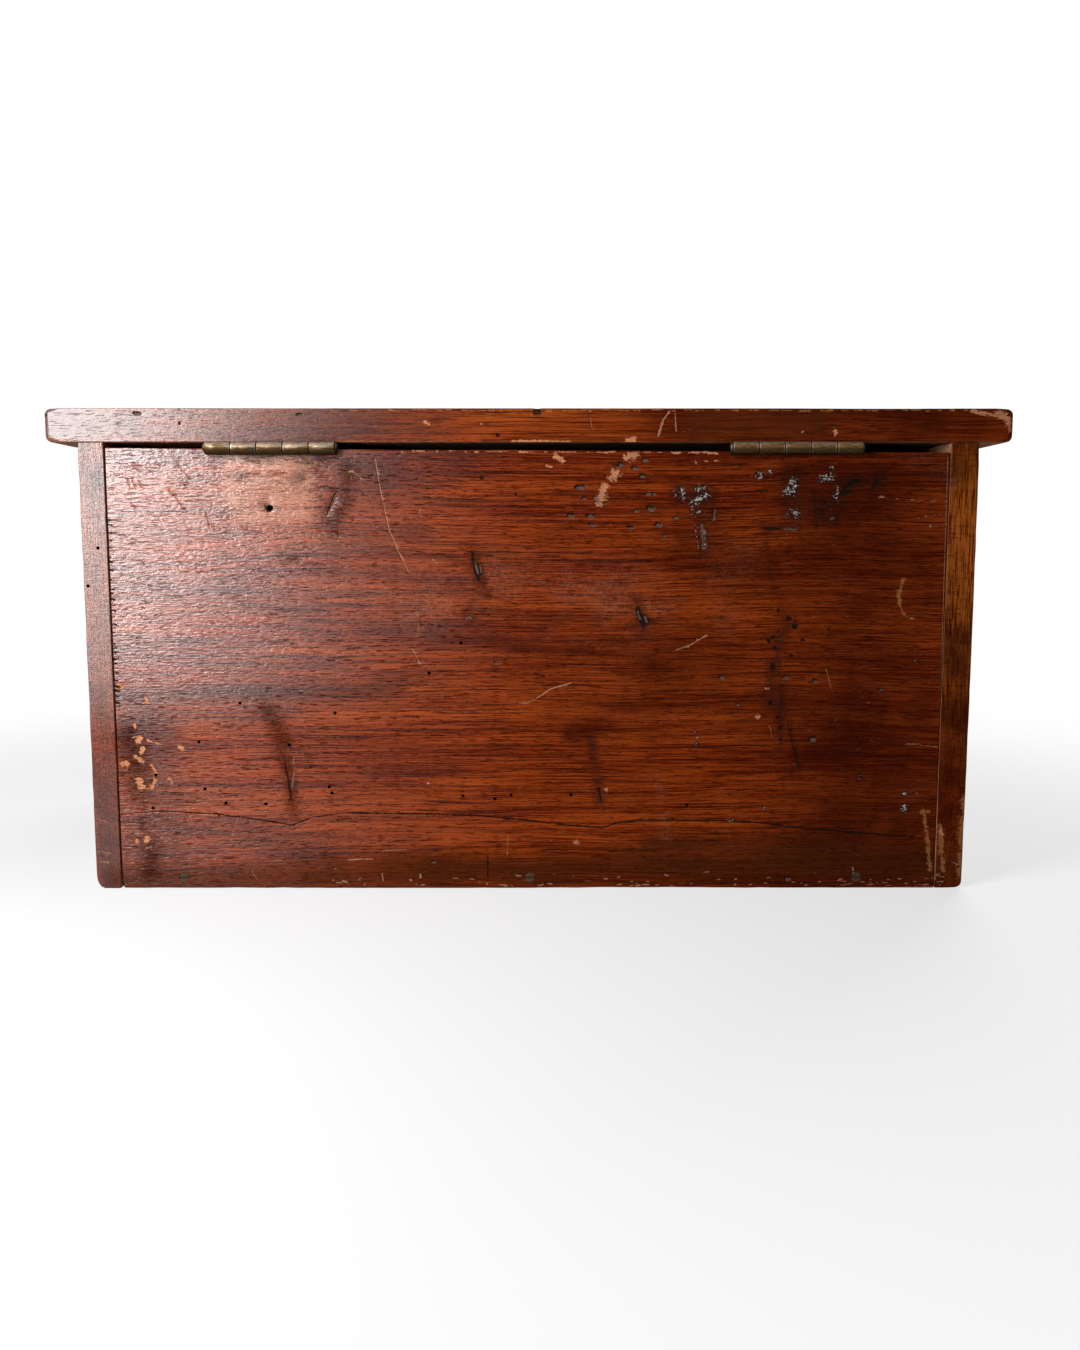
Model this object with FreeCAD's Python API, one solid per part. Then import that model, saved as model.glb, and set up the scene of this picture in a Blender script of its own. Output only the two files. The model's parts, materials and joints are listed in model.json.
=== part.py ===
import FreeCAD, Part
import math
import os
from collections import namedtuple

# A small wooden storage chest: five nailed and screwed boards under an overhanging lid on two butt hinges.
# Lengths are in millimetres. The chest stands on z = 0 with the middle of its case over the origin.
# Its front looks towards -Y and its hinges are at +Y. Left and right are those of someone facing the front.

Vector = FreeCAD.Vector

# Case
CASE_WIDTH = 431.8
CASE_DEPTH = 254.0
CASE_HEIGHT = 219.1
LEFT_SIDE_THICKNESS = 13.9
RIGHT_SIDE_THICKNESS = 12.2
BACK_THICKNESS = 12.7
FRONT_THICKNESS = 12.7
BOTTOM_THICKNESS = 11.0
JOINT_GAP = 0.3  # the back and front boards have shrunk this far from each side board
BACK_DROP_LEFT = 4.8  # the back board's top edge lies this far below the side boards, at its left end
BACK_DROP_RIGHT = 2.7
SIDE_FOOT_ROUND = 4.0  # the outer lower edge, worn by being pushed about
SIDE_EDGE_ROUND = 1.4
BACK_EDGE_ROUND = 1.2
FRONT_EDGE_ROUND = 1.2

# Lid
LID_THICKNESS = 15.9
LID_END_OVERHANG = 15.9
LID_FRONT_OVERHANG = 15.9
LID_CORNER_ROUND = 3.0
LID_TOP_ROUND = 2.4
LID_UNDER_ROUND = 1.8

# Butt hinges, each with two rolled leaves on one pin
HINGE_LENGTH = 62.0
HINGE_LEAF_WIDTH = 13.0  # from the pin's axis to the leaf's free edge
HINGE_LEAF_THICKNESS = 1.5
HINGE_PIN_RADIUS = 1.5
HINGE_PIN_CLEARANCE = 0.05
HINGE_PIN_HEAD_RADIUS = 2.3
HINGE_PIN_HEAD_HEIGHT = 0.7
HINGE_PIN_HEAD_BEVEL = 0.4
HINGE_KNUCKLES = 5
HINGE_KNUCKLE_GAP = 0.3
HINGE_NOTCH_GAP = 0.4  # between a knuckle and the other leaf's notch
HINGE_ROLL_END_DEG = 205.0  # where the rolled strip stops, just short of its own leaf
HINGE_STANDOFF = 2.5  # the pin's axis lies this far behind the case
HINGE_MORTISE_CLEARANCE = 0.25
RIGHT_HINGE_INSET = 61.6  # from the case's right face to the hinge's nearer end
LEFT_HINGE_INSET = 57.3
HINGE_SCREW_SHARES = (-0.35, 0.0, 0.35)  # along the hinge, from its middle

# Hinge screws, countersunk, slotted and blunt-ended as old ones are
HINGE_SCREW_HEAD_RADIUS = 2.7
HINGE_SCREW_HEAD_DEPTH = 1.3
HINGE_SCREW_SHANK_RADIUS = 1.4
CASE_HINGE_SCREW_LENGTH = 16.0
LID_HINGE_SCREW_LENGTH = 12.0
HINGE_SCREW_SLOT_WIDTH = 0.8
HINGE_SCREW_SLOT_DEPTH = 0.7

# Screws through the walls into the edges of the bottom board
BOTTOM_SCREW_HEAD_RADIUS = 2.5
BOTTOM_SCREW_HEAD_DEPTH = 1.4
BOTTOM_SCREW_SHANK_RADIUS = 1.4
BOTTOM_SCREW_LENGTH = 31.8
BOTTOM_SCREW_SLOT_WIDTH = 0.8
BOTTOM_SCREW_SLOT_DEPTH = 0.7
LONG_WALL_SCREW_SHARES = (-0.377, 0.0, 0.399)  # along the case's width, from its middle
SIDE_WALL_SCREW_SHARES = (-0.3, 0.3)  # along the case's depth, from its middle

# Cut nails through the side boards into the ends of the back and front boards, sheared from flat plate
CORNER_NAIL_PLATE = 2.0
CORNER_NAIL_HEAD_WIDTH = 4.4
CORNER_NAIL_HEAD_DEPTH = 1.4
CORNER_NAIL_SHANK_WIDTH = 3.2
CORNER_NAIL_TIP_WIDTH = 1.5
CORNER_NAIL_LENGTH = 38.0
CORNER_NAIL_SHARES = (0.13, 0.38, 0.63, 0.88)  # up the case's height

# Shared
FASTENER_CLEARANCE = 0.08  # between a screw or nail and its hole
CUT_OVERRUN = 2.0  # how far a cut reaches past the face it opens
ON_PLANE = 0.001  # an edge this close to a plane lies in it

# Places that follow from the sizes above
RIGHT_FACE = CASE_WIDTH / 2
BACK_FACE = CASE_DEPTH / 2
LID_TOP = CASE_HEIGHT + LID_THICKNESS
INNER_LEFT = -RIGHT_FACE + LEFT_SIDE_THICKNESS
INNER_RIGHT = RIGHT_FACE - RIGHT_SIDE_THICKNESS
BORE_RADIUS = HINGE_PIN_RADIUS + HINGE_PIN_CLEARANCE
BARREL_RADIUS = BORE_RADIUS + HINGE_LEAF_THICKNESS
AXIS_Y = BACK_FACE + HINGE_STANDOFF
AXIS_Z = CASE_HEIGHT - BARREL_RADIUS
HINGE_SCREW_Y = -(HINGE_LEAF_WIDTH + BARREL_RADIUS + HINGE_NOTCH_GAP) / 2  # mid-leaf, from the axis
HINGE_X = {
    "right": RIGHT_FACE - RIGHT_HINGE_INSET - HINGE_LENGTH / 2,
    "left": -RIGHT_FACE + LEFT_HINGE_INSET + HINGE_LENGTH / 2,
}
SIDE_SIGN = {"right": 1, "left": -1}
INNER_FACE = {"right": INNER_RIGHT, "left": INNER_LEFT}
UP = Vector(0, 0, 1)
DOWN = Vector(0, 0, -1)

Screw = namedtuple("Screw", "head_radius head_depth shank_radius length slot_width slot_depth")
CASE_HINGE_SCREW = Screw(HINGE_SCREW_HEAD_RADIUS, HINGE_SCREW_HEAD_DEPTH, HINGE_SCREW_SHANK_RADIUS,
                         CASE_HINGE_SCREW_LENGTH, HINGE_SCREW_SLOT_WIDTH, HINGE_SCREW_SLOT_DEPTH)
LID_HINGE_SCREW = CASE_HINGE_SCREW._replace(length=LID_HINGE_SCREW_LENGTH)
BOTTOM_SCREW = Screw(BOTTOM_SCREW_HEAD_RADIUS, BOTTOM_SCREW_HEAD_DEPTH, BOTTOM_SCREW_SHANK_RADIUS,
                     BOTTOM_SCREW_LENGTH, BOTTOM_SCREW_SLOT_WIDTH, BOTTOM_SCREW_SLOT_DEPTH)


def block(low, high):
    """A box between two opposite corners."""
    size = [b - a for a, b in zip(low, high)]
    return Part.makeBox(*size, Vector(*low))


def edges_on(shape, **planes):
    """The edges that lie in every plane named, such as x=3 or z=0."""
    found = []
    for edge in shape.Edges:
        box = edge.BoundBox
        spans = {"x": (box.XMin, box.XMax), "y": (box.YMin, box.YMax), "z": (box.ZMin, box.ZMax)}
        if all(abs(end - value) < ON_PLANE for axis, value in planes.items() for end in spans[axis]):
            found.append(edge)
    return found


def extruded(points, direction):
    """A prism of a flat outline, given by its corners."""
    return Part.Face(Part.makePolygon([*points, points[0]])).extrude(direction)


def turned(profile):
    """A solid of revolution about Z, from (radius, height) corners."""
    points = [Vector(radius, 0, height) for radius, height in profile]
    return Part.Face(Part.makePolygon([*points, points[0]])).revolve(Vector(), UP, 360)


# Fasteners, made with the head's top at the origin and pointing along -Z


def screw(kind):
    """A countersunk screw with a slotted head."""
    profile = [(0, 0), (kind.head_radius, 0), (kind.shank_radius, -kind.head_depth),
               (kind.shank_radius, -kind.length), (0, -kind.length)]
    reach = kind.head_radius + CUT_OVERRUN
    half = kind.slot_width / 2
    slot = block((-reach, -half, -kind.slot_depth), (reach, half, CUT_OVERRUN))
    return turned(profile).cut(slot)


def screw_hole(kind):
    """The countersunk hole that takes a screw with a little room to spare."""
    head = kind.head_radius + FASTENER_CLEARANCE
    shank = kind.shank_radius + FASTENER_CLEARANCE
    end = -kind.length - FASTENER_CLEARANCE
    return turned([(0, CUT_OVERRUN), (head, CUT_OVERRUN), (head, 0),
                   (shank, -kind.head_depth), (shank, end), (0, end)])


def nail(room=0):
    """A headed cut nail that tapers along Y, as thick as its plate. With room it is a hole for one."""
    head = CORNER_NAIL_HEAD_WIDTH / 2 + room
    shank = CORNER_NAIL_SHANK_WIDTH / 2 + room
    tip = CORNER_NAIL_TIP_WIDTH / 2 + room
    neck = -CORNER_NAIL_HEAD_DEPTH - room
    end = -CORNER_NAIL_LENGTH - room
    thickness = CORNER_NAIL_PLATE + 2 * room
    half = [(head, room), (head, neck), (shank, neck), (tip, end)]
    outline = half + [(-across, along) for across, along in reversed(half)]
    points = [Vector(-thickness / 2, across, along) for across, along in outline]
    return extruded(points, Vector(thickness, 0, 0))


def placed(shape, spot, pointing):
    """A fastener moved so that its head's top is at spot and it points the way given."""
    moved = shape.copy()
    moved.Placement = FreeCAD.Placement(spot, FreeCAD.Rotation(DOWN, pointing))
    return moved


def group(shape, spots):
    """Separate copies of one fastener, at (place, direction) pairs."""
    return Part.makeCompound([placed(shape, spot, way) for spot, way in spots])


def drilled(board, hole, spots):
    """The board with a hole for each fastener."""
    return board.cut([placed(hole, spot, way) for spot, way in spots])


# Places of the fasteners, as (spot of the head's top, direction of the point)


def long_wall_screws(y, inwards):
    height = BOTTOM_THICKNESS / 2
    return [(Vector(share * CASE_WIDTH, y, height), Vector(0, inwards, 0))
            for share in LONG_WALL_SCREW_SHARES]


def side_wall_screws(sign):
    height = BOTTOM_THICKNESS / 2
    return [(Vector(sign * RIGHT_FACE, share * CASE_DEPTH, height), Vector(-sign, 0, 0))
            for share in SIDE_WALL_SCREW_SHARES]


def corner_nails(sign, y):
    return [(Vector(sign * RIGHT_FACE, y, share * CASE_HEIGHT), Vector(-sign, 0, 0))
            for share in CORNER_NAIL_SHARES]


def leaf_screws(hinge_x, height, pointing):
    return [(Vector(hinge_x + share * HINGE_LENGTH, AXIS_Y + HINGE_SCREW_Y, height), pointing)
            for share in HINGE_SCREW_SHARES]


BACK_BOTTOM_SCREWS = long_wall_screws(BACK_FACE, -1)
FRONT_BOTTOM_SCREWS = long_wall_screws(-BACK_FACE, 1)
SIDE_BOTTOM_SCREWS = {side: side_wall_screws(sign) for side, sign in SIDE_SIGN.items()}
BACK_NAIL_Y = BACK_FACE - BACK_THICKNESS / 2
FRONT_NAIL_Y = -BACK_FACE + FRONT_THICKNESS / 2
BACK_NAILS = {side: corner_nails(sign, BACK_NAIL_Y) for side, sign in SIDE_SIGN.items()}
FRONT_NAILS = {side: corner_nails(sign, FRONT_NAIL_Y) for side, sign in SIDE_SIGN.items()}
CASE_LEAF_SCREWS = {side: leaf_screws(x, AXIS_Z - BORE_RADIUS, DOWN) for side, x in HINGE_X.items()}
LID_LEAF_SCREWS = {side: leaf_screws(x, AXIS_Z + BORE_RADIUS, UP) for side, x in HINGE_X.items()}


# Boards


def side_board(side):
    """An end of the case, full depth and height, with a worn foot."""
    sign = SIDE_SIGN[side]
    outer = sign * RIGHT_FACE
    inner = INNER_FACE[side]
    board = block((min(outer, inner), -BACK_FACE, 0), (max(outer, inner), BACK_FACE, CASE_HEIGHT))
    board = board.makeFillet(SIDE_FOOT_ROUND, edges_on(board, x=outer, z=0))
    upright = edges_on(board, x=outer, y=BACK_FACE) + edges_on(board, x=outer, y=-BACK_FACE)
    board = board.makeFillet(SIDE_EDGE_ROUND, upright)
    board = drilled(board, screw_hole(BOTTOM_SCREW), SIDE_BOTTOM_SCREWS[side])
    return drilled(board, nail(FASTENER_CLEARANCE), BACK_NAILS[side] + FRONT_NAILS[side])


def back_board():
    """The wall between the side boards that carries the hinges. Its top edge falls away to the left."""
    left, right = INNER_LEFT + JOINT_GAP, INNER_RIGHT - JOINT_GAP
    outline = [Vector(left, BACK_FACE, 0), Vector(right, BACK_FACE, 0),
               Vector(right, BACK_FACE, CASE_HEIGHT - BACK_DROP_RIGHT),
               Vector(left, BACK_FACE, CASE_HEIGHT - BACK_DROP_LEFT)]
    board = extruded(outline, Vector(0, -BACK_THICKNESS, 0))
    worn = [edge for edge in edges_on(board, y=BACK_FACE) if edge.BoundBox.XLength > ON_PLANE]
    board = board.makeFillet(BACK_EDGE_ROUND, worn)
    for side, x in HINGE_X.items():
        half = HINGE_LENGTH / 2 + HINGE_MORTISE_CLEARANCE
        front = AXIS_Y - HINGE_LEAF_WIDTH - HINGE_MORTISE_CLEARANCE
        mortise = block((x - half, front, AXIS_Z - BARREL_RADIUS),
                        (x + half, BACK_FACE + CUT_OVERRUN, CASE_HEIGHT + CUT_OVERRUN))
        board = board.cut(mortise)
        board = drilled(board, screw_hole(CASE_HINGE_SCREW), CASE_LEAF_SCREWS[side])
        board = drilled(board, nail(FASTENER_CLEARANCE), BACK_NAILS[side])
    return drilled(board, screw_hole(BOTTOM_SCREW), BACK_BOTTOM_SCREWS)


def front_board():
    """The wall between the side boards under the lid's front edge, as high as they are."""
    left, right = INNER_LEFT + JOINT_GAP, INNER_RIGHT - JOINT_GAP
    board = block((left, -BACK_FACE, 0), (right, -BACK_FACE + FRONT_THICKNESS, CASE_HEIGHT))
    worn = edges_on(board, y=-BACK_FACE, z=0) + edges_on(board, y=-BACK_FACE, z=CASE_HEIGHT)
    board = board.makeFillet(FRONT_EDGE_ROUND, worn)
    for nails in FRONT_NAILS.values():
        board = drilled(board, nail(FASTENER_CLEARANCE), nails)
    return drilled(board, screw_hole(BOTTOM_SCREW), FRONT_BOTTOM_SCREWS)


def bottom_board():
    """The floor, let in between the four walls and level with their lower edges."""
    board = block((INNER_LEFT, -BACK_FACE + FRONT_THICKNESS, 0),
                  (INNER_RIGHT, BACK_FACE - BACK_THICKNESS, BOTTOM_THICKNESS))
    for spots in (BACK_BOTTOM_SCREWS, FRONT_BOTTOM_SCREWS, *SIDE_BOTTOM_SCREWS.values()):
        board = drilled(board, screw_hole(BOTTOM_SCREW), spots)
    return board


def lid_board():
    """A plain board that overhangs the ends and the front, and is level with the back."""
    end = RIGHT_FACE + LID_END_OVERHANG
    front = -BACK_FACE - LID_FRONT_OVERHANG
    board = block((-end, front, CASE_HEIGHT), (end, BACK_FACE, LID_TOP))
    corners = [edge for x in (-end, end) for y in (front, BACK_FACE) for edge in edges_on(board, x=x, y=y)]
    board = board.makeFillet(LID_CORNER_ROUND, corners)
    board = board.makeFillet(LID_TOP_ROUND, edges_on(board, z=LID_TOP))
    board = board.makeFillet(LID_UNDER_ROUND, edges_on(board, z=CASE_HEIGHT))
    for spots in LID_LEAF_SCREWS.values():
        board = drilled(board, screw_hole(LID_HINGE_SCREW), spots)
    return board


# Hinges, made about the pin's axis and moved into place


def around_axis(radius, degrees):
    angle = math.radians(degrees)
    return Vector(0, radius * math.cos(angle), radius * math.sin(angle))


def rolled_strip(start, length):
    """One knuckle and the strip of leaf behind it: a flat that runs under the pin and rolls up round it."""
    under, over = -90, 90
    flat_outer = Vector(0, -HINGE_LEAF_WIDTH, -BARREL_RADIUS)
    flat_inner = Vector(0, -HINGE_LEAF_WIDTH, -BORE_RADIUS)
    outer = [around_axis(BARREL_RADIUS, a) for a in (under, over, HINGE_ROLL_END_DEG)]
    inner = [around_axis(BORE_RADIUS, a) for a in (HINGE_ROLL_END_DEG, over, under)]
    edges = [Part.LineSegment(flat_outer, outer[0]), Part.Arc(*outer),
             Part.LineSegment(outer[-1], inner[0]), Part.Arc(*inner),
             Part.LineSegment(inner[-1], flat_inner), Part.LineSegment(flat_inner, flat_outer)]
    strip = Part.Face(Part.Wire([edge.toShape() for edge in edges])).extrude(Vector(length, 0, 0))
    return strip.translated(Vector(start, 0, 0))


def hinge_leaf(first_knuckle, screw_kind):
    """A leaf that lies under the pin's axis and holds every second knuckle, drilled for its screws."""
    pitch = HINGE_LENGTH / HINGE_KNUCKLES
    left_end = -HINGE_LENGTH / 2
    leaf = block((left_end, -HINGE_LEAF_WIDTH, -BARREL_RADIUS),
                 (-left_end, -BARREL_RADIUS - HINGE_NOTCH_GAP, -BORE_RADIUS))
    for knuckle in range(first_knuckle, HINGE_KNUCKLES, 2):
        at_left_end = knuckle == 0
        at_right_end = knuckle == HINGE_KNUCKLES - 1
        start = left_end + knuckle * pitch + (0 if at_left_end else HINGE_KNUCKLE_GAP / 2)
        stop = left_end + (knuckle + 1) * pitch - (0 if at_right_end else HINGE_KNUCKLE_GAP / 2)
        leaf = leaf.fuse(rolled_strip(start, stop - start))
    spots = [(Vector(share * HINGE_LENGTH, HINGE_SCREW_Y, -BORE_RADIUS), DOWN)
             for share in HINGE_SCREW_SHARES]
    return drilled(leaf.removeSplitter(), screw_hole(screw_kind), spots)


def case_leaf(side):
    return hinge_leaf(0, CASE_HINGE_SCREW).translated(Vector(HINGE_X[side], AXIS_Y, AXIS_Z))


def lid_leaf(side):
    """The other leaf, turned over so that it lies above the axis against the lid."""
    leaf = hinge_leaf(1, LID_HINGE_SCREW).mirror(Vector(), UP)
    return leaf.translated(Vector(HINGE_X[side], AXIS_Y, AXIS_Z))


def hinge_pin(side):
    """A turned pin with a low bevelled head at each end of the barrel."""
    barrel_end = HINGE_LENGTH / 2
    end = barrel_end + HINGE_PIN_HEAD_HEIGHT
    half = [(HINGE_PIN_RADIUS, barrel_end), (HINGE_PIN_HEAD_RADIUS, barrel_end),
            (HINGE_PIN_HEAD_RADIUS, end - HINGE_PIN_HEAD_BEVEL),
            (HINGE_PIN_HEAD_RADIUS - HINGE_PIN_HEAD_BEVEL, end), (0, end)]
    pin = turned(half + [(radius, -height) for radius, height in reversed(half)])
    pin.rotate(Vector(), Vector(0, 1, 0), 90)
    return pin.translated(Vector(HINGE_X[side], AXIS_Y, AXIS_Z))


# The finished pieces, by name


def all_parts():
    parts = {
        "back_board": back_board(),
        "front_board": front_board(),
        "bottom_board": bottom_board(),
        "lid_board": lid_board(),
        "back_bottom_screws": group(screw(BOTTOM_SCREW), BACK_BOTTOM_SCREWS),
        "front_bottom_screws": group(screw(BOTTOM_SCREW), FRONT_BOTTOM_SCREWS),
    }
    for side in SIDE_SIGN:
        parts[f"{side}_side_board"] = side_board(side)
        parts[f"{side}_bottom_screws"] = group(screw(BOTTOM_SCREW), SIDE_BOTTOM_SCREWS[side])
        parts[f"back_{side}_corner_nails"] = group(nail(), BACK_NAILS[side])
        parts[f"front_{side}_corner_nails"] = group(nail(), FRONT_NAILS[side])
        parts[f"{side}_hinge_case_leaf"] = case_leaf(side)
        parts[f"{side}_hinge_lid_leaf"] = lid_leaf(side)
        parts[f"{side}_hinge_pin"] = hinge_pin(side)
        parts[f"{side}_hinge_case_screws"] = group(screw(CASE_HINGE_SCREW), CASE_LEAF_SCREWS[side])
        parts[f"{side}_hinge_lid_screws"] = group(screw(LID_HINGE_SCREW), LID_LEAF_SCREWS[side])
    return parts


def main():
    os.makedirs("parts", exist_ok=True)
    for name, shape in all_parts().items():
        if not shape.isValid():
            raise ValueError(f"{name} is not a valid shape")
        shape.exportStep(f"parts/{name}.step")
        print(name, len(shape.Solids), "solids", round(shape.Volume, 1), "mm3")


main()
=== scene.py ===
import json
import math
import random
from collections import namedtuple

import bmesh
import bpy
import numpy as np
from bpy.props import FloatProperty, FloatVectorProperty, PointerProperty
from mathutils import Matrix, Vector


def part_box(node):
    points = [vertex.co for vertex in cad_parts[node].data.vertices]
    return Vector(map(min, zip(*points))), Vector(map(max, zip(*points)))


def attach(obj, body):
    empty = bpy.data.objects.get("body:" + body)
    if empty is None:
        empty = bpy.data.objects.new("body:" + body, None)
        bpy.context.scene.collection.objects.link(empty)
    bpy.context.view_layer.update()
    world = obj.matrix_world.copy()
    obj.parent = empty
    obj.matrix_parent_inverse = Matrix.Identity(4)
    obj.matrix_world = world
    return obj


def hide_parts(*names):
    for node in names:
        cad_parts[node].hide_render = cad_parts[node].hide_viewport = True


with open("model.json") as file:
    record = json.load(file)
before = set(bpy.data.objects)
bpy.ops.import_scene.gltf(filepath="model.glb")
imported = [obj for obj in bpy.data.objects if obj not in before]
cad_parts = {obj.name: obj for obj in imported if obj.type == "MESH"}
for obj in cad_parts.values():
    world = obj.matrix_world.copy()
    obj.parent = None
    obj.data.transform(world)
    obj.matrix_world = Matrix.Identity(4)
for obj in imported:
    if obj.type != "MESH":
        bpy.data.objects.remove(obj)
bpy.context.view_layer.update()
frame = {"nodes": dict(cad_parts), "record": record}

bl_info = {
    "name": "Old mahogany chest",
    "version": (1, 0, 0),
    "blender": (4, 5, 0),
    "location": "3D View > Sidebar > Chest",
    "description": "Dresses a small storage chest in worn, varnished mahogany and aged brass",
    "category": "Object",
}

BACK_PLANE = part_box("back_board")[1].y
X, Y, Z = 0, 1, 2

# The photograph that the marks on the back are placed by, in its own pixels
PHOTO_WIDTH = 1080
PHOTO_HEIGHT = 1350
FOCAL_PIXELS = 1140


def colour(name, description, default):
    return FloatVectorProperty(name=name, description=description, subtype="COLOR", size=3,
                               min=0, max=1, default=default)


def length(name, description, default):
    return FloatProperty(name=name, description=description, unit="LENGTH", min=0, precision=5,
                         default=default)


def place(name, description, default):
    return FloatVectorProperty(name=name, description=description, subtype="TRANSLATION", unit="LENGTH",
                               default=default)


def watts(name, description, default):
    return FloatProperty(name=name, description=description, unit="POWER", min=0, default=default)


class WoodFinish(bpy.types.PropertyGroup):
    """Colours of the mahogany, its wear and its marks, some of which also paint shade, sheen, reflections and
    highlights.
    """

    heart: colour("Heartwood", "Middle red-brown of the varnished wood", (0.090, 0.0098, 0.0018))
    glow: colour("Light grain", "Orange streaks between the dark ones", (0.215, 0.0350, 0.0050))
    gold: colour("Golden grain", "Browner cast of the lid and the ends", (0.310, 0.0820, 0.0110))
    # The dark grain colour is also what the shade marks lay on; towards the -X end of the back, its end board
    # and the lid they are painted shade where the window light falls off.
    figure: colour("Dark grain", "Dark streaks of the figure", (0.025, 0.0030, 0.0011))
    pore: colour("Pores", "Open pores filled with old polish", (0.010, 0.0030, 0.0018))
    bare: colour("Bare wood", "Wood where the varnish has flaked off", (0.400, 0.1660, 0.0850))
    # The rubbed colour also paints a highlight line along the lid's upper back edge.
    rub: colour("Rubbed wood", "Tan wood where the varnish is rubbed thin", (0.230, 0.0900, 0.0300))
    ghost: colour("Old hinge ghost", "Paler wood that an older hinge covered", (0.410, 0.1900, 0.1100))
    # The scratch colour also paints a highlight along the back's joint at its -X end.
    scratch_and_highlight: colour("Scratch", "Raised fibre in a scratch", (0.340, 0.1750, 0.1000))
    paint: colour("Paint spots", "Drips of old white paint and filler", (0.360, 0.3200, 0.2850))
    # The grime colour also paints shade: the dark lips of chips, the torn teeth of the open joint, the dark
    # sides of pits and dents, and the walls of the holes.
    grime_and_shade: colour("Grime", "Dirt in dents, cracks and corners", (0.008, 0.0055, 0.0045))
    # The stain colour also paints shade over the lid's edge towards its -X end.
    stain_and_shade: colour("Stain", "Brown dirt along the foot", (0.040, 0.0105, 0.0030))
    # The haze colour is partly painted sheen, laid as fine whitish glints.
    haze_and_sheen: colour("Haze", "Whitish smears in the varnish", (0.280, 0.1350, 0.0950))
    # The scuff colour is mostly painted reflection, the pale lower facets of chips and pale middles of dents;
    # on two old screw holes it is filler.
    scuff_and_reflection: colour("Scuff", "Grey facets of chips and dents", (0.095, 0.0680, 0.0560))
    raw: colour("Unfinished wood", "Inside faces that were never varnished", (0.190, 0.1050, 0.0580))


class BoardWear(bpy.types.PropertyGroup):
    """Sizes of the wear on the boards."""

    arris: length("Arris", "Smallest rounding of a board's edge", 0.0003)
    lid_corner: length("Lid corner", "Rounding of the lid at its ends", 0.0030)
    foot_width: length("Foot width", "Rounding of the side boards' outer lower edge, across", 0.0045)
    foot_height: FloatVectorProperty(name="Foot height", unit="LENGTH", size=2, min=0, precision=5,
                                     description="The same rounding upwards, at the left and right",
                                     default=(0.0045, 0.0080))
    edge_wear: length("Edge wear", "How much more a knocked edge is rounded", 0.0016)
    edge_reach: length("Edge reach", "How far from an edge the varnish is rubbed", 0.0022)
    knuckle_ease: length("Knuckle ease", "Rounding of the knuckles' sharp ends", 0.00032)
    open_joint: length("Open joint", "How far the back has shrunk from one end", 0.0005)
    hollow: length("Surface hollow", "Depth of the slow waves that planing left", 0.00012)
    grid: length("Mesh grid", "Spacing of the mesh over a board's face", 0.0024)
    hole_radius: length("Insect hole", "Radius of a flight hole", 0.00085)
    hole_depth: length("Hole depth", "Depth of a flight hole", 0.0060)
    seat_gap: length("Seat gap", "Room round a nail or screw head", 0.00012)


class MetalFinish(bpy.types.PropertyGroup):
    """Colours of the hinges and fasteners."""

    brass: colour("Aged brass", "Brown patina over the hinges", (0.130, 0.0700, 0.0220))
    # The rubbed brass is also a painted highlight: on top of the barrels, beside the knuckle seams and on the
    # hinge nearer the window light.
    brass_worn_and_highlight: colour("Rubbed brass", "Brass rubbed bright on the knuckles", (0.270, 0.2200, 0.1750))
    # The hinge dirt colour also paints shade under the barrels.
    brass_dirt_and_shade: colour("Hinge dirt", "Black dirt between the knuckles", (0.014, 0.0090, 0.0050))
    iron: colour("Dark iron", "Old screw and nail heads", (0.050, 0.0280, 0.0165))
    rust: colour("Rust", "Rust on the screw and nail heads", (0.060, 0.0260, 0.0130))


class StageSettings(bpy.types.PropertyGroup):
    """Camera, lamps and floor."""

    camera_place: place("Camera place", "Where the camera stands, behind the chest", (-0.0039, 0.6808, 0.1695))
    camera_tilt: FloatProperty(name="Camera tilt", description="How far the camera looks down",
                               subtype="ANGLE", default=math.radians(6.43))
    camera_turn: FloatProperty(name="Camera turn", description="How far the camera looks to one side",
                               subtype="ANGLE", default=math.radians(-0.125))
    lens: FloatProperty(name="Lens", description="Focal length on a 36 mm sensor", unit="CAMERA", default=30.4)
    key_place: place("Window light place", "Soft light to one side of the camera", (0.41, 0.50, 0.32))
    key_width: length("Window light width", "Width of the soft light", 0.26)
    key_height: length("Window light height", "Height of the soft light", 0.36)
    key_power: watts("Window light power", "Strength of the soft light", 6.6)
    front_place: place("Front light place", "Soft light on the chest's front", (-0.70, -1.30, 0.95))
    front_size: length("Front light size", "Edge of the front light", 1.00)
    front_power: watts("Front light power", "Strength of the front light", 30.0)
    ambient: FloatProperty(name="Ambient", description="Strength of the plain surrounding light", default=0.09)
    floor_size: length("Floor size", "Edge of the floor", 12.0)
    floor_colour: colour("Floor colour", "Plain pale floor", (0.65, 0.65, 0.65))


MILLIMETRE = 0.001
BARREL_RADIUS = 0.00305  # of the hinges' knuckles
SKIN = 0.004  # a mark reaches this deep into a board
# The walls of a hole below RIM are painted dark, as painted shade.
RIM = 0.0006  # a hole is clean down to here and dark below
SCREW_SEAT = 0.0030  # height of the cutter for a screw head's seat
NAIL_SEAT = 0.0020  # depth of the seat of a nail's head
WELD = 1e-6  # corners of a CAD mesh that are closer than this are one
EDGE_STRIPS = (1.2, 2.5, 4.5, 8.0, 13.0)  # cuts along a board's edges, in widths of its arris
BOARD_CREASE = math.radians(38)
LEAF_CREASE = math.radians(40)
SIDES = ("left", "right")

# A mark is a line through points, or one spot, of a kind that the finish knows. Width and depth are in metres.
Mark = namedtuple("Mark", "kind width depth points")
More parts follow.
